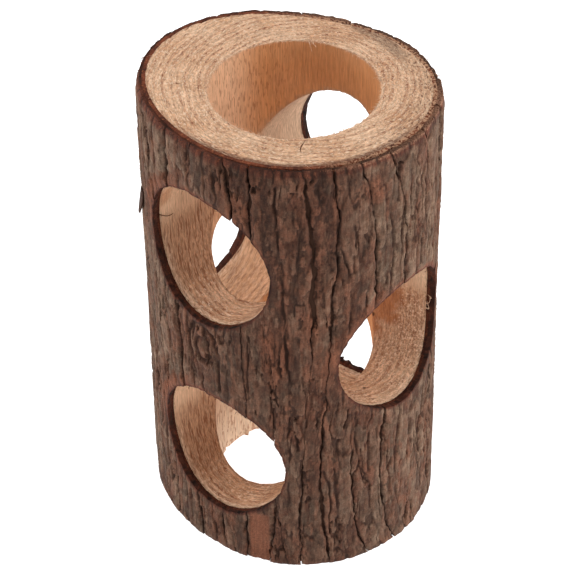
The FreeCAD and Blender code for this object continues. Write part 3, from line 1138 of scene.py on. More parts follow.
# from 0, closed, to 1: it closes in places, at the base and near the cross holes
def fissureOpen(index, z):
    index = index % len(fissures)
    share = np.ones_like(z)
    if index in closedFissures:
        low, high = closedFissures[index]
        share = 1 - 0.85 * ease(low - 9, low + 9, z) * ease(high + 9, high - 9, z)
    lip = holeDistance(logPoints(fissureAzimuth(fissures[index], z), z, 3.6)) - holeRadius
    share = share * (0.3 + 0.7 * ease(0.0, 9.0, z))
    return share * (0.15 + 0.85 * ease(0.0, 5.0, np.abs(lip)))


# from the fissure's middle to one of its walls, in degrees; side is 0 or 1
def fissureHalf(index, z, side):
    index = index % len(fissures)
    path = np.stack([0 * z + 3.1 * index, 0 * z, z], axis=-1)
    opening = layeredNoise(path, (1, 1, 10.0), 140 + index, 4, 0.6)
    opening = (0.5 + 0.5 * np.clip(opening, -1, 1)) ** 2
    wide = fissureShape["gap"] + fissureShape["opens"] * opening * fissureOpen(index, z)
    if index in wideFissures:
        low, high, more = wideFissures[index]
        wide = wide + more * ease(low - 8, low + 8, z) * ease(high + 6, high - 4, z)
    path = path + np.array([0.0, 40.0 + 9.0 * side, 0.0])
    ragged = fissureShape["ragged"] * layeredNoise(path, (1, 1, 4.5), 170 + index, 3, 0.7)
    return np.maximum(wide / 2 + ragged * fissureOpen(index, z), 0.04) / perDegree


# blurred over the bark, round the log and up and down it
def softened(field, reach):
    rows, columns = field.shape
    tall = np.concatenate([field, field[::-1]])
    fz = np.fft.fftfreq(2 * rows, logShape["height"] / (rows - 1))[:, None]
    fu = np.fft.rfftfreq(columns, girth / columns)[None, :]
    blur = np.exp(-2 * (math.pi * reach) ** 2 * (fz ** 2 + fu ** 2))
    return np.fft.irfft2(np.fft.rfft2(tall) * blur, s=tall.shape)[:rows]


# lays one rounded plate over what is there, where it lies higher
def layPlate(maps, warp, centre, half, top, lean, tint, grey):
    azimuth, z = maps["azimuth"], maps["z"]
    rows = np.nonzero(np.abs(z - centre[1]) < half[1] * 1.25)[0]
    columns = np.nonzero(np.abs(wrapped(azimuth - centre[0])) * perDegree < half[0] * 1.35)[0]
    if len(rows) == 0 or len(columns) == 0:
        return
    window = np.ix_(rows, columns)
    du = wrapped(azimuth[columns] - centre[0])[None, :] * perDegree + warp[0][window]
    dz = (z[rows] - centre[1])[:, None] + warp[1][window]
    p, q = du / half[0], dz / half[1]
    inside = 1 - (np.abs(p) ** 2.3 + np.abs(q) ** 2.8)
    surface = top + lean * p + 0.12 * q - 0.28 * (1 - ease(0.0, 0.14, inside))
    wins = (inside > 0) & (surface > maps["height"][window])
    # painted shade cast by the plate on the lower bark just outside its edge
    around = ease(-0.45, -0.05, inside) * (maps["height"][window] < top - 0.12)
    outline = np.maximum(maps["outline"][window], around)
    maps["outline"][window] = np.where(wins, 0.0, outline)
    maps["height"][window] = np.where(wins, surface, maps["height"][window])
    # painted shade along the plate's rounded edge, and a painted highlight on a band just inside
    # it
    shade = tint - 0.35 * ease(0.10, 0.0, inside) + 0.12 * ease(0.22, 0.14, inside)
    maps["tint"][window] = np.where(wins, shade, maps["tint"][window])
    maps["grey"][window] = np.where(wins, grey, maps["grey"][window])


# cuts one wandering crack, deepest halfway along
def cutCrack(maps, line, width, deep, seed):
    azimuth, z = maps["azimuth"], maps["z"]
    line = np.array(sorted(line, key=lambda point: point[1]), float)
    rows = np.nonzero((z >= line[0, 1]) & (z <= line[-1, 1]))[0]
    centre = np.interp(z[rows], line[:, 1], line[:, 0]) + wander(z[rows], seed, 0.65)
    share = (z[rows] - line[0, 1]) / (line[-1, 1] - line[0, 1])
    strength = np.clip(np.sin(math.pi * share), 0, 1) ** 0.5
    strength[(z[rows] < 3) | (z[rows] > 197)] = 1.0
    path = np.stack([0 * centre, 0 * centre + 5.3 * seed, z[rows]], axis=-1)
    vary = 1 + 0.6 * layeredNoise(path, 3.0, seed, 2)
    strength = strength * ease(-0.55, -0.05, noise(path, 7.0, seed + 3))
    distance = np.abs(wrapped(azimuth[None, :] - centre[:, None])) * perDegree
    cut = (deep * strength)[:, None] * np.exp(-(distance / (0.62 * width * vary)[:, None]) ** 2)
    maps["height"][rows] -= cut


def emptyMaps():
    rows, columns = barkGrid["rows"], barkGrid["columns"]
    shape = (rows, columns)
    return {"azimuth": np.linspace(-180, 180, columns, endpoint=False),
            "z": np.linspace(0, logShape["height"], rows),
            "height": np.full(shape, -1.55), "tint": np.full(shape, 0.35),
            "grey": np.zeros(shape), "outline": np.zeros(shape)}


# the layers of rounded plates, seeded, and the single grey ones
def layScales(maps, spots):
    maps["height"] += 0.30 * layeredNoise(spots, (2.4, 2.4, 22), 101, 3)
    warp = (1.2 * layeredNoise(spots, (4, 4, 9), 102, 4, 0.6),
            3.4 * layeredNoise(spots, (3, 3, 6), 103, 4, 0.6))
    random = np.random.default_rng(barkGrid["seed"])
    for layer in scaleLayers:
        across = int(girth / layer["wide"])
        up = int(logShape["height"] / layer["tall"]) + 2
        for i in range(across):
            for j in range(up):
                centre = (-180 + 360 * (i + random.uniform(0.1, 0.9)) / across,
                          (j - 0.5 + random.uniform(-0.5, 0.5)) * layer["tall"])
                half = (layer["wide"] * random.uniform(0.38, 0.72),
                        layer["tall"] * random.uniform(0.40, 0.85))
                top = random.uniform(layer["low"], layer["high"])
                lean, tint, grey = random.normal(0, 0.12), random.random(), random.random()
                if random.random() > layer["missing"]:
                    layPlate(maps, warp, centre, half, top, lean, tint, ease(0.35, 0.75, grey))
    for azimuthAt, zAt, halfWide, halfTall, top in lonePlates:
        layPlate(maps, warp, (azimuthAt, zAt), (halfWide, halfTall), top, 0.0,
                 random.uniform(0.4, 0.75), 1.0)


# listed cracks, lone ones, the plates' long grooves and the fields of fine lines
def cutCracks(maps):
    for i, (line, width, deep) in enumerate(handCracks):
        cutCrack(maps, line, width, deep, 40 + i)
    random = np.random.default_rng(loneCracks["seed"])
    for i in range(loneCracks["count"]):
        start, low = random.uniform(-180, 180), random.uniform(*loneCracks["foot"])
        tall = random.uniform(*loneCracks["tall"])
        drift = random.normal(0, loneCracks["drift"])
        line = [(start, low), (start + drift, low + tall)]
        cutCrack(maps, line, random.uniform(*loneCracks["wide"]),
                 random.uniform(*loneCracks["deep"]), 70 + i)
    for i, share in enumerate(grooveShares):
        if share:
            zs = np.linspace(0, logShape["height"], 9)
            left, right = fissureAzimuth(fissures[i], zs), fissureLine(i + 1, zs)
            cutCrack(maps, list(zip(left + share * (right - left), zs)), 1.0, 1.1, 620 + i)
    for i, (middle, half, low, high, count) in enumerate(lineFields):
        for k in range(count):
            start = middle + half * (2 * (k + random.uniform(0.2, 0.8)) / count - 1)
            foot = random.uniform(low, low + 0.4 * (high - low))
            head = random.uniform(low + 0.6 * (high - low), high)
            drift = random.normal(0, 0.8)
            cutCrack(maps, [(start, foot), (start + drift, head)], random.uniform(0.3, 0.55),
                     random.uniform(0.5, 1.0), 700 + 20 * i + k)


# hair cracks, fibres, crumbs and flaking sheets
def roughen(maps, spots):
    for cell, seed, deep in (((3.0, 3.0, 14), 111, 0.30), ((5.0, 5.0, 8), 113, 0.20)):
        lines = np.abs(layeredNoise(spots, cell, seed, 3))
        some = ease(-0.1, 0.3, noise(spots, (9, 9, 20), seed + 7))
        maps["height"] -= deep * some * ease(0.08, 0.0, lines)
    maps["height"] += 0.06 * layeredNoise(spots, (0.8, 0.8, 8), 104, 2)
    maps["height"] += 0.06 * layeredNoise(spots, (1.2, 1.2, 1.8), 105, 2)
    maps["height"] += 0.16 * layeredNoise(spots, (12, 12, 30), 106, 2)
    for cell, seed, step, deep in flakeSheets:
        sheet = layeredNoise(spots, cell, seed, 5, 0.6)
        level = np.floor(sheet * step)
        maps["height"] += deep * (level + 0.5)
        maps["tint"] += 0.22 * cellValue(level.astype(np.int64), 0 * level.astype(np.int64),
                                         0, seed)
    maps["tint"] = np.clip(maps["tint"], 0, 1)


# the knot with its bark drawn round it; gives how deep its arcs are cut, from 0 to 1
def raiseKnot(maps, spots):
    du = wrapped(maps["azimuth"] - knot["azimuth"])[None, :] * perDegree
    dz = (maps["z"] - knot["height"])[:, None]
    ringsAt = np.hypot(du / knot["wide"], dz / knot["tall"])
    inside = ease(1.15, 0.6, ringsAt)
    bent = ringsAt + 0.12 * layeredNoise(spots, (3, 3, 3), 109, 2)
    maps["height"] += inside * (0.38 * np.sin(11 * bent + 1.2) - 0.1)
    arc = np.exp(-((bent - 0.98) / 0.09) ** 2) * ease(0.1, 0.5, dz / knot["tall"])
    arc = np.maximum(arc, 0.7 * np.exp(-((bent - 0.45) / 0.08) ** 2) * inside)
    maps["height"] -= 1.5 * arc
    return arc


# takes the outer bark off the strip at the base
def stripBare(maps, spots):
    across = np.abs(wrapped(maps["azimuth"] - bareStrip["azimuth"])) * perDegree
    ragged = maps["z"] + 2.5 * noise(spots[:, 0], 3, 8)
    bare = (ease(*bareStrip["wide"], across)[None, :]
            * ease(*bareStrip["tall"], ragged)[:, None])
    maps["height"] = maps["height"] * (1 - bare) - 1.25 * bare
    maps["bare"] = bare


# grey where it is worn, reddish in places
def weatherBark(maps, spots):
    azimuth, z, bare = maps["azimuth"], maps["z"], maps["bare"]
    patches = layeredNoise(spots, (10, 10, 26), 107, 3)
    worn = ease(-1.35, -0.35, maps["height"])
    maps["grey"] = np.clip(0.60 * maps["grey"] + 0.45 * worn + 0.4 * patches - 0.08, 0, 1)
    maps["grey"] = maps["grey"] * (1 - bare)
    rust = 0.25 * ease(0.15, 0.7, layeredNoise(spots, (8, 8, 20), 108, 3)) * (1 - maps["grey"])
    for azimuthAt, zAt, halfWide, halfTall in rustAreas:
        du = wrapped(azimuth - azimuthAt)[None, :] * perDegree
        far = np.hypot(du / halfWide, (z[:, None] - zAt) / halfTall) + 0.35 * patches
        rust = np.maximum(rust, ease(1.1, 0.5, far) * 0.8)
    maps["rust"] = np.maximum(rust, bare)
    maps["grey"] = maps["grey"] * (1 - 0.7 * maps["rust"])


# rounds the plates' edges down to the fissures; gives the distance from the nearest one
def roundEdges(maps, spots):
    azimuth, z = maps["azimuth"], maps["z"]
    edge, drop = np.full(maps["height"].shape, 99.0), np.zeros(maps["height"].shape)
    reach = fissureShape["edgeWidth"] * (0.8 + 1.1 * layeredNoise(spots, (2.5, 2.5, 8), 114, 3))
    for k in range(len(fissures)):
        away = wrapped(azimuth[None, :] - fissureLine(k, z)[:, None])
        half = np.where(away > 0, fissureHalf(k, z, 1)[:, None], fissureHalf(k, z, 0)[:, None])
        away = (np.abs(away) - half) * perDegree
        edge = np.minimum(edge, away)
        near = (1 - ease(0, 1, away / np.maximum(reach, 0.3))) ** 1.3
        drop = np.maximum(drop, fissureShape["edgeDrop"] * near * fissureOpen(k, z)[:, None])
    maps["height"] = np.clip(maps["height"] - drop, -2.1, 0.0)
    return edge


# painted shade: what lies low and the knot's arcs are darkened, with the fissures as trenches,
# and raised parts get a painted highlight; the side round azimuth -58 gets painted shade, more
# so towards the top, and there the bark is also less grey and redder
def shadeBark(maps, edge, arc):
    bare = maps["bare"]
    full = np.where(edge < 0, maps["height"] - 1.4, maps["height"])
    # painted shade in the hollows, from how far the surface lies under its blurred copy
    low = 0.9 * (softened(full, 0.6) - full) + 0.55 * (softened(full, 1.8) - full)
    hollow = np.maximum(ease(0.12, 0.66, low), 0.78 * maps["outline"]) * (1 - 0.8 * bare)
    maps["hollow"] = np.maximum(hollow, 0.9 * arc)
    # painted highlight on what stands higher than its surroundings
    lift = np.clip(full - softened(full, 1.0), -0.4, 0.4)
    maps["tint"] = np.clip(0.12 + 0.76 * maps["tint"] + 0.9 * lift, 0, 1)
    # painted shade on the side round azimuth -58
    darkest = sector(maps["azimuth"], *darkSide)[None, :]
    darkest = darkest * (0.75 + 0.5 * ease(120, 170, maps["z"]))[:, None]
    maps["tint"] = maps["tint"] - 0.25 * darkest
    maps["tint"] = maps["tint"] * (1 - bare) + bareStrip["tint"] * bare
    maps["grey"] = maps["grey"] * (1 - 0.45 * darkest)
    maps["rust"] = np.maximum(maps["rust"], 0.30 * darkest * (1 - maps["grey"]))


# the bark unrolled: heights against the plates' full thickness, and shares for the colours
def barkMaps():
    maps = emptyMaps()
    angle = np.radians(maps["azimuth"])[None, :]
    spots = np.stack(np.broadcast_arrays(
        barkGrid["radius"] * np.cos(angle), barkGrid["radius"] * np.sin(angle),
        maps["z"][:, None]), axis=-1)
    layScales(maps, spots)
    cutCracks(maps)
    roughen(maps, spots)
    arc = raiseKnot(maps, spots)
    stripBare(maps, spots)
    weatherBark(maps, spots)
    edge = roundEdges(maps, spots)
    shadeBark(maps, edge, arc)
    return maps


# a map's value between its points
def readMap(maps, name, azimuth, z):
    field = maps[name]
    rows, columns = field.shape
    u = (np.asarray(azimuth) + 180.0) % 360.0 / 360.0 * columns
    v = np.clip(np.asarray(z) / logShape["height"], 0, 1) * (rows - 1)
    i, j = np.floor(v).astype(int), np.floor(u).astype(int)
    fi, fj = v - i, u - j
    i2, j2 = np.minimum(i + 1, rows - 1), (j + 1) % columns
    j = j % columns
    low = field[i, j] * (1 - fj) + field[i, j2] * fj
    high = field[i2, j] * (1 - fj) + field[i2, j2] * fj
    return low * (1 - fi) + high * fi


stripDetail = {
    "step": 0.4,             # across
    "rise": 0.6,             # up the log
    "foot": 0.3, "head": 199.3,
    "endLip": 0.5,           # share of the thickness left at the sawn ends,
    "thickSide": (60, 110, 65),    # and the side where more of it is left
    "cutRadius": 30.1,
    "crumbs": (60, 4.0),     # loose parts of fewer points, or shorter, are left out
}


def stripRings(index, maps, values):
    thickness = fissures[index][4]
    inner = logShape["innerBark"]
    ends = np.array([0.0, 0.4, 0.9, 1.5, 2.2])
    z = np.concatenate([values["foot"] + ends, np.arange(3.3, 196.2, values["rise"]),
                        values["head"] - ends[::-1]])
    left = fissureLine(index, z) + fissureHalf(index, z, 1)
    right = fissureLine(index + 1, z) - fissureHalf(index + 1, z, 0)
    count = int(np.ceil((right - left).max() * perDegree / values["step"])) + 1
    share = np.linspace(0, 1, count)
    azimuth = left[:, None] + share[None, :] * (right - left)[:, None]
    zAll = z[:, None] + 0 * azimuth
    height = readMap(maps, "height", azimuth, zAll)
    foot, head = zAll - values["foot"], values["head"] - zAll
    end = np.minimum(foot, head)
    near = holeDistance(logPoints(azimuth, zAll, inner + 0.7 * thickness)) - holeRadius
    calm = np.maximum(0.85 * ease(4.5, 0.8, near), 0.55 * ease(5.5, 1.5, head))
    calm = np.maximum(calm, 0.6 * ease(5.0, 0.5, foot))
    height = height * (1 - calm) - (0.8 - 0.6 * ease(20, 10, zAll)) * calm
    top = np.maximum(inner + thickness + height, inner + 0.35)
    lip = values["endLip"] + 0.35 * sector(azimuth, *values["thickSide"])
    lip = lip + (1 - lip) * ease(-0.3, 2.6, head) ** 0.7
    lip = np.minimum(lip, 0.9 + 0.1 * ease(0.0, 1.2, foot))
    top = inner + (top - inner) * lip
    spots = logPoints(azimuth, zAll, top)
    near = holeDistance(spots) - holeRadius
    frayed = 0.5 + 0.5 * noise(spots, 2.5, 300 + index)
    top = top - (0.8 * frayed * ease(1.6, 0.2, near)) * (top - inner) / 3.0
    top = np.maximum(top, inner + 0.25)
    uneven = 0.35 * layeredNoise(logPoints(azimuth, zAll, 0.0), 2.2, 310 + index)
    zAll = np.clip(zAll + uneven * ease(1.5, 0.0, end), 0.15, 199.75)
    surface = logPoints(azimuth, zAll, top)
    floor = inner - 0.35

    def wall(column, shares):
        return [logPoints(azimuth[:, column], zAll[:, column],
                          floor + (top[:, column] - floor) * share) for share in shares]

    under = [logPoints(left + s * (right - left), zAll[:, 0] * (1 - s) + zAll[:, -1] * s, floor)
             for s in (1.0, 0.66, 0.33, 0.0)]
    rest = np.stack(wall(-1, (0.66, 0.33)) + under + wall(0, (0.33, 0.66)), axis=1)
    return np.concatenate([surface, rest], axis=1)


# numbers the loose parts of a mesh
def looseParts(mesh):
    count = len(mesh.vertices)
    flat = np.empty(len(mesh.edges) * 2, np.int32)
    mesh.edges.foreach_get("vertices", flat)
    a, b = flat.reshape(-1, 2).T
    label = np.arange(count)
    while True:
        lowest = np.minimum(label[a], label[b])
        fresh = label.copy()
        np.minimum.at(fresh, a, lowest)
        np.minimum.at(fresh, b, lowest)
        fresh = fresh[fresh]
        if (fresh == label).all():
            return label
        label = fresh


def pickPart(mesh, name, keep):
    sizes = np.empty(len(mesh.polygons), np.int32)
    starts = np.empty(len(mesh.polygons), np.int32)
    corners = np.empty(len(mesh.loops), np.int32)
    mesh.polygons.foreach_get("loop_total", sizes)
    mesh.polygons.foreach_get("loop_start", starts)
    mesh.loops.foreach_get("vertex_index", corners)
    chosen = keep[corners[starts]]
    points = meshPoints(mesh)[keep]
    fresh = np.cumsum(keep) - 1
    faceSets = []
    for size in np.unique(sizes[chosen]):
        pick = starts[chosen & (sizes == size)]
        faceSets.append(fresh[corners[pick[:, None] + np.arange(size)[None, :]]])
    return skinMesh(name, points, faceSets)


def sawnShare(azimuth, z):
    return ease(198.0, 198.9, z) * sector(azimuth, *sawnSide)


# round the cross holes' mouths: 1 along the upper half, and 1 at the upper left
def mouthShares(points):
    above, left = np.zeros(len(points)), np.zeros(len(points))
    for hole in crossHoles:
        along, sideways, fromAxis, rise = holeView(hole, points)
        ring = ease(holeRadius + 10, holeRadius + 8, fromAxis)
        above = np.maximum(above, ring * ease(2.0, 14.0, rise))
        left = np.maximum(left, ring * (ease(-4, -20, sideways) * ease(-6, 8, rise)))
    return above, left


# the masks that the outer bark's material reads
def paintBark(mesh, maps):
    points = meshPoints(mesh)
    azimuth, depth = barkPlace(points)
    z = points[:, 2]
    near = holeDistance(points) - holeRadius
    above, left = mouthShares(points)
    facing = (meshNormals(mesh) * logPoints(azimuth, 0.0, 0.0)).sum(axis=1) / logRadius(azimuth)
    walled = ease(0.85, 0.35, facing)
    torn = layeredNoise(points, 2.4, 402)
    fuzzy = np.maximum(above * ease(3.0, 0.9, near + 0.8 * torn),
                       left * ease(7.5, 3.0, near + 1.8 * torn))
    # the tint map's painted shade and highlight, darker on the bark's faces towards the holes'
    # mouths
    tone = readMap(maps, "tint", azimuth, z) - (0.12 + 0.43 * walled) * ease(1.4, 0.3, near)
    speck = layeredNoise(points, 1.6, 401)
    fromTop = logShape["height"] - z
    cut = np.maximum(ease(1.5, 0.5, near + 0.45 * speck), ease(4.4, 1.8, fromTop + 1.1 * speck))
    setMasks(mesh, hollow=readMap(maps, "hollow", azimuth, z) * (1 - 0.6 * fuzzy),
             grey=readMap(maps, "grey", azimuth, z) * (1 - fuzzy),
             rust=np.maximum(readMap(maps, "rust", azimuth, z), fuzzy), tone=tone,
             cut=np.maximum(cut, ease(0.9, 0.3, z + 0.3 * speck)),
             sawn=0.6 * sawnShare(azimuth, z))


# the solids that a strip stands for, from the top down
def nodesOfStrip(index):
    start = "bark_strip_%02d_" % (index + 1)
    return sorted(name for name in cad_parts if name.startswith(start))


def buildStrip(index, maps, cutters, values):
    blank = skinMesh("stripBlank", *ringSkin(stripRings(index, maps, values)))
    carved = carve(blank, cutters)
    label = looseParts(carved)
    points = meshPoints(carved)
    nodes = nodesOfStrip(index)
    middles = []
    for node in nodes:
        low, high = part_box(node)
        middles.append(0.5 * (np.array(low) + np.array(high)) * 1000)
    fewest, shortest = values["crumbs"]
    owner = np.full(len(points), -1)
    for value in np.unique(label):
        part = label == value
        low, high = points[part].min(axis=0), points[part].max(axis=0)
        if part.sum() < fewest or (high - low).max() < shortest:
            continue
        gaps = [np.linalg.norm(0.5 * (low + high) - middle) for middle in middles]
        owner[part] = int(np.argmin(gaps))
    pieces = []
    for i, node in enumerate(nodes):
        keep = owner == i
        if not keep.any():
            print("no bark left for", node)
            continue
        name = "bark%02d%s" % (index + 1, node[-1])
        mesh = pickPart(carved, name, keep)
        paintBark(mesh, maps)
        pieces.append(addPiece(name, mesh, outerBark, [node]))
    bpy.data.meshes.remove(carved)
    return pieces


def buildBark(values):
    maps = barkMaps()
    cutters = holeCutters("BarkCutter", values["cutRadius"], 1.0)
    pieces = []
    for index in range(len(fissures)):
        pieces += buildStrip(index, maps, cutters, values)
    return cutters, pieces


barkCutters, barkPieces = buildBark(stripDetail)
print("bark strips laid:", len(barkPieces), "pieces,",
      sum(len(piece.data.vertices) for piece in barkPieces), "points")

sleeveDetail = {"turns": 480, "rise": 2.0, "rough": 0.14}


def sleeveRings(values):
    azimuth = np.linspace(0, 360, values["turns"], endpoint=False)
    outer = logShape["innerBark"]

    def ringAt(z, depth, uneven):
        ring = logPoints(azimuth, z, depth)
        if uneven:
            ring[:, 2] += 0.12 * layeredNoise(ring, 1.2, 502)
        return ring

    rings = []
    for z in np.concatenate([[0.1], np.arange(2, 198, values["rise"]), [199.0, 199.75]]):
        rough = layeredNoise(logPoints(azimuth, z, outer), (1.2, 1.2, 10), 501)
        rings.append(ringAt(z, outer - 0.15 + values["rough"] * rough, z > 199.5))
    rings += [ringAt(199.75, depth, True) for depth in (1.0, 0.5, 0.0)]
    rings += [ringAt(z, -0.35, False) for z in (199.0, 150.0, 100.0, 50.0, 0.1)]
    rings += [ringAt(0.1, depth, False) for depth in (0.4, 1.0)]
    return np.stack(rings)


def buildSleeve(values, cutters):
    rings = sleeveRings(values)
    m, n = rings.shape[:2]
    i = np.arange(m)[:, None] * n
    down = (np.arange(m)[:, None] + 1) % m * n
    j = np.arange(n)[None, :]
    k = (j + 1) % n
    quads = np.stack([i + j, i + k, down + k, down + j], axis=-1).reshape(-1, 4)
    mesh = carve(skinMesh("sleeveBlank", rings.reshape(-1, 3), [quads]), cutters)
    points = meshPoints(mesh)
    z = points[:, 2]
    speck = layeredNoise(points, 1.4, 503)
    end = np.minimum(z, logShape["height"] - z)
    near = holeDistance(points) - holeRadius
    azimuth, depth = barkPlace(points)
    across = np.abs(wrapped(azimuth - bareStrip["azimuth"])) * perDegree
    bare = ease(*bareStrip["wideUnder"], across) * ease(*bareStrip["tallUnder"], z)
    # the inner bark keeps its colour where it is shown at the holes and the ends, and half of it
    # on the bare strip; elsewhere it gets the painted shade of the fissures
    shown = np.maximum(ease(1.6, 0.6, near + 0.3 * speck), ease(2.4, 1.0, end + 0.4 * speck))
    setMasks(mesh, shown=np.maximum(shown, 0.5 * bare), sawn=sawnShare(azimuth, z),
             tone=0.5 - 0.5 * ease(1.6, 0.4, near))
    addPiece("innerBarkLayer", mesh, innerBark, ["inner_bark"])


buildSleeve(sleeveDetail, barkCutters)
for cutter in barkCutters:
    bpy.data.objects.remove(cutter)
print("inner bark laid")

flakeDetail = {"azimuth": -141.0, "top": 153.3, "foot": 142.7, "wide": 4.6, "thick": 1.5,
               "standOff": 1.8}


def buildFlake(values):
    share = np.linspace(0, 1, 22)
    z = values["top"] + share * (values["foot"] - values["top"])
    turn = np.linspace(0, 2 * math.pi, 20, endpoint=False)
    bark = logShape["innerBark"] + fissures[-1][4]
    middle = bark - 0.55 + values["standOff"] * share ** 1.3
    swell = np.sin(math.pi * np.clip(share * 0.8 + 0.2, 0, 1))
    half = values["wide"] / 2 * (0.55 + 0.45 * swell)
    half = half * (1 + 0.12 * noise(np.stack([0 * z, 0 * z, z], axis=-1), 1.4, 601))
    thick = values["thick"] / 2 * (1 - 0.45 * share)
    across = half[:, None] * np.cos(turn)
    depth = middle[:, None] + thick[:, None] * np.sin(turn) + 0.05 * across ** 2
    azimuth = values["azimuth"] + across / perDegree
    rings = logPoints(azimuth, z[:, None] + 0 * across, depth)
    mesh = skinMesh("looseFlake", *ringSkin(rings))
    points = meshPoints(mesh)
    # the loose flake is painted with 0.72 of the hollows' shade colour all over
    setMasks(mesh, hollow=0.72 + 0.1 * noise(points, 1.5, 602), grey=0.0, rust=0.0, cut=0.0,
             sawn=0.0, tone=0.3)
    addPiece("looseFlake", mesh, outerBark, ["loose_bark_flake"])


buildFlake(flakeDetail)
print("loose flake set")


# joins skins of the same two kinds of face
def joinSkins(skins):
    points, faceSets, base = [], [[], []], 0
    for spots, faces in skins:
        points.append(spots)
        for i in (0, 1):
            faceSets[i].append(faces[i] + base)
        base += len(spots)
    return np.concatenate(points), [np.concatenate(faces) for faces in faceSets]


# a three-sided fibre round a row of points
def fibreSkin(spine, half, side, up):
    rings = np.stack([spine + half * side, spine + half * up,
                      spine - half * (side + up) * 0.7], axis=1)
    quads = [(3 * i + j, 3 * i + k, 3 * i + 3 + k, 3 * i + 3 + j)
             for i in range(len(spine) - 1) for j, k in ((0, 1), (1, 2), (2, 0))]
    last = 3 * len(spine) - 3
    ends = [(2, 1, 0), (last, last + 1, last + 2)]
    return rings.reshape(-1, 3), [np.array(quads), np.array(ends)]


# short bent hairs: where each starts, its direction and its length
def hairSkin(starts, ways, lengths, thick, seed):
    random = np.random.default_rng(seed)
    skins = []
    for start, way, length in zip(starts, ways, lengths):
        way = way / np.linalg.norm(way)
        bend = random.normal(0, 0.35, 3)
        share = np.linspace(0, 1, 5)[:, None]
        spine = start + way * length * share + bend * length * share ** 2 * 0.6
        side = np.cross(way, random.normal(0, 1, 3))
        side = side / np.linalg.norm(side)
        skins.append(fibreSkin(spine, thick * (1 - 0.6 * share), side, np.cross(way, side)))
    return joinSkins(skins)


# long single fibres, each a row of points and a thickness
pathPale = [
    ([(-11.5, 29.6, 199.7), (-10.0, 28.2, 199.9), (-8.6, 27.2, 199.0),
      (-7.6, 26.6, 197.4)], 0.16),
    ([(-10.0, 29.8, 199.6), (-8.4, 28.6, 199.9), (-6.4, 27.9, 199.2)], 0.14),
    ([(47.8, 28.4, 95.5), (49.2, 28.0, 97.5), (47.6, 29.4, 99.3), (49.6, 28.8, 101.0),
      (48.6, 28.4, 102.6)], 0.22),
    ([(48.0, 28.4, 98.0), (49.8, 27.6, 99.6), (49.6, 28.6, 101.0)], 0.18),
    ([(48.6, -15.0, 199.6), (50.0, -16.2, 199.95), (51.4, -15.6, 199.7)], 0.14),
]
pathDark = [
    ([(-32.4, -39.4, 147.4), (-32.2, -38.1, 147.1), (-31.7, -35.4, 145.2),
      (-31.4, -31.9, 144.6)], 0.26),
    ([(-33.6, -38.6, 152.0), (-32.9, -37.2, 150.0), (-33.2, -36.2, 148.6)], 0.18),
]


def pathSkin(paths, seed):
    random = np.random.default_rng(seed)
    skins = []
    for path, thick in paths:
        path = np.array(path)
        share = np.linspace(0, 1, 16)
        at = np.linspace(0, 1, len(path))
        order = min(len(path) - 1, 4)
        spine = np.stack([np.polyval(np.polyfit(at, path[:, k], order), share)
                          for k in range(3)], axis=-1)
        way = np.gradient(spine, axis=0)
        way = way / np.linalg.norm(way, axis=1)[:, None]
        side = np.cross(way, random.normal(0, 1, 3))
        side = side / np.linalg.norm(side, axis=1)[:, None]
        half = (thick * (1 - 0.5 * share))[:, None]
        skins.append(fibreSkin(spine, half, side, np.cross(way, side)))
    return joinSkins(skins)


hairDetail = {
    "topCount": 700, "boreCount": 420, "rimCount": 600, "lipCount": 150,
    "length": (0.8, 3.2), "boreLength": (0.6, 2.2),
    "rimLength": (0.6, 1.8), "lipLength": (0.5, 1.6),
    "thick": 0.10,
    "highest": (199.97, 199.95),    # of the wood's fibres and of the bark's fuzz
    "seed": 31,
}


def layTopFibres(values, random):
    azimuth = random.uniform(-180, 180, values["topCount"])
    inward = random.uniform(-19, -0.5, values["topCount"])
    starts = logPoints(azimuth, 199.72, inward)
    starts = starts[boreDistance(starts) > boreShape["radius"] - 0.2]
    ways = np.stack([-starts[:, 1] + random.normal(0, 22, len(starts)),
                     starts[:, 0] + random.normal(0, 22, len(starts)),
                     random.uniform(0.0, 6.0, len(starts))], axis=-1)
    lengths = random.uniform(*values["length"], len(starts))
    onTop = hairSkin(starts, ways, lengths, values["thick"], 41)
    onTop[0][:, 2] = np.clip(onTop[0][:, 2], 199.5, 199.99)

    # torn fibres round the rim of the bore
    turn = random.uniform(0, 2 * math.pi, values["boreCount"])
    out = np.stack([np.cos(turn), np.sin(turn), 0 * turn], axis=-1)
    rimAt = random.uniform(0.0, 0.9, len(turn))[:, None] + boreShape["radius"]
    rimMiddle = np.array([boreShape["middle"][0] + 0.87, boreShape["middle"][1], 199.5])
    starts = out * rimAt + rimMiddle
    ways = np.cross(out, (0, 0, 1)) * random.normal(0, 1.0, (len(turn), 1))
    ways = ways - 0.5 * out + random.normal(0, 0.25, (len(turn), 3))
    lengths = random.uniform(*values["boreLength"], len(turn))
    roundBore = hairSkin(starts, ways, lengths, values["thick"], 44)
    roundBore[0][:, 2] = np.clip(roundBore[0][:, 2], 198.6, 199.95)
    points, faceSets = joinSkins([onTop, roundBore, pathSkin(pathPale, 45)])
    points[:, 2] = np.minimum(points[:, 2], values["highest"][0])
    mesh = skinMesh("topFibres", points, faceSets)
    setMasks(mesh, boreWall=0.0, stain=0.0, weather=0.0, rippled=0.0, bleached=0.0,
             holeWall=0.0, bored=0.0, amber=0.0, stipple=0.0, rind=0.0, striped=0.0,
             endGrain=1.0, lip=1.0)
    addPiece("topFibres", mesh, wood)


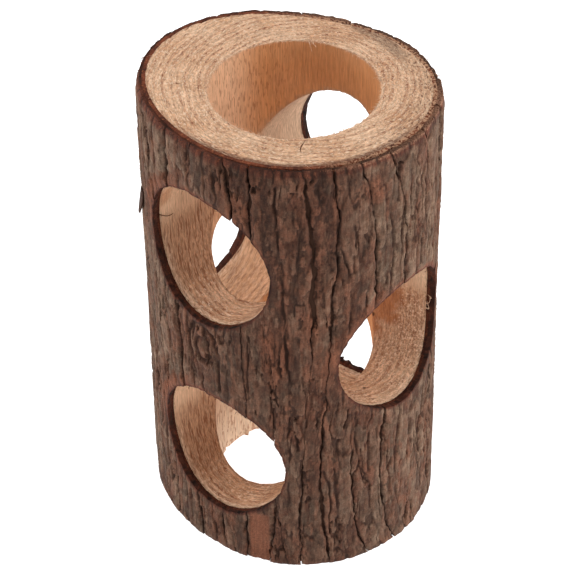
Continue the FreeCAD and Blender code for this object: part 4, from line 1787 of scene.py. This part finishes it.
# fuzz of the torn inner bark, along the top rim and the upper lips of the cross holes
def layFuzz(values, random):
    count = values["rimCount"]
    azimuth = random.uniform(-180, 180, count)
    starts = logPoints(azimuth, random.uniform(198.6, 199.6, count),
                       random.uniform(0.2, 2.8, count))
    ways = np.stack([np.cos(np.radians(azimuth)) + random.normal(0, 0.8, count),
                     np.sin(np.radians(azimuth)) + random.normal(0, 0.8, count),
                     random.uniform(-0.6, 0.2, count)], axis=-1)
    lengths = random.uniform(*values["rimLength"], count)
    alongTop = hairSkin(starts, ways, lengths, values["thick"] * 1.3, 42)

    lipStarts, lipWays = [], []
    for hole in crossHoles:
        middle, axis, side, up = holeFrame(hole)
        for k in range(values["lipCount"] // len(crossHoles)):
            turn = math.radians(random.uniform(20, 160))
            out = math.cos(turn) * side + math.sin(turn) * up
            along = 40.0
            # walk along the hole's wall until it meets the bark
            for step in range(12):
                spot = middle + axis * along + out * holeRadius
                away = logRadius(np.degrees(np.arctan2(spot[1], spot[0]))) + 2.0
                along += (away - np.hypot(spot[0], spot[1])) * 0.8
            lipStarts.append(spot + axis * random.uniform(-2.0, 1.5))
            lipWays.append(-out + 0.5 * random.normal(0, 1, 3))
    lengths = random.uniform(*values["lipLength"], len(lipStarts))
    onLips = hairSkin(lipStarts, lipWays, lengths, values["thick"] * 1.2, 43)
    points, faceSets = joinSkins([alongTop, onLips, pathSkin(pathDark, 46)])
    points[:, 2] = np.minimum(points[:, 2], values["highest"][1])
    mesh = skinMesh("barkFuzz", points, faceSets)
    setMasks(mesh, shown=1.0, sawn=sawnShare(barkPlace(points)[0], points[:, 2]),
             tone=0.5 - 0.4 * ease(199.0, 197.0, points[:, 2]))
    addPiece("barkFuzz", mesh, innerBark)


hairRandom = np.random.default_rng(hairDetail["seed"])
layTopFibres(hairDetail, hairRandom)
layFuzz(hairDetail, hairRandom)
print("stray fibres laid")

studio = {
    "floorWhite": 0.5,
    "floorSpots": 0.98,      # share of the white in the paper's darker spots
    "floorGlow": 1.0,
    "floorHalf": 4000.0,
    "world": 0.42,
    "softBoxes": [
        # name, place and size in metres, power in watts
        ("topBox", (0.1, 0.1, 1.7), 1.2, 10.0),
        ("leftBox", (-1.5, -0.7, 0.6), 1.2, 17.0),
        ("rightBox", (1.5, 0.6, 0.6), 1.2, 17.0),
    ],
}


def buildStudio(values):
    material, tree, shader, place = newMaterial("whiteFloor")
    paper = cloud(tree, place, 6.0, 2.0)["Fac"]
    white = values["floorWhite"]
    spots = white * values["floorSpots"]
    color = blend(tree, paper, (white, white, white, 1.0), (spots, spots, spots, 1.0))
    tree.links.new(color, shader.inputs["Base Color"])
    shader.inputs["Roughness"].default_value = 0.9
    shader.inputs["Emission Color"].default_value = (1.0, 1.0, 1.0, 1.0)
    shader.inputs["Emission Strength"].default_value = values["floorGlow"]
    half = values["floorHalf"]
    corners = np.array([(-half, -half, 0), (half, -half, 0), (half, half, 0), (-half, half, 0)])
    mesh = skinMesh("studioFloor", corners, [np.array([[0, 1, 2, 3]])])
    mesh.materials.append(material)
    workObject("studioFloor", mesh)

    world = bpy.data.worlds.new("studioWorld")
    world.use_nodes = True
    sky = world.node_tree.nodes["Background"]
    sky.inputs["Color"].default_value = (1.0, 1.0, 1.0, 1.0)
    sky.inputs["Strength"].default_value = values["world"]
    bpy.context.scene.world = world

    for name, place, size, power in values["softBoxes"]:
        lamp = bpy.data.lights.new(name, "AREA")
        lamp.shape = "SQUARE"
        lamp.size = size
        lamp.energy = power
        box = bpy.data.objects.new(name, lamp)
        box.location = place
        towards = Vector((0, 0, 0.1)) - Vector(place)
        box.rotation_euler = towards.to_track_quat("-Z", "Y").to_euler()
        bpy.context.scene.collection.objects.link(box)


buildStudio(studio)
bpy.context.scene.view_settings.view_transform = "Standard"
print("studio lit")
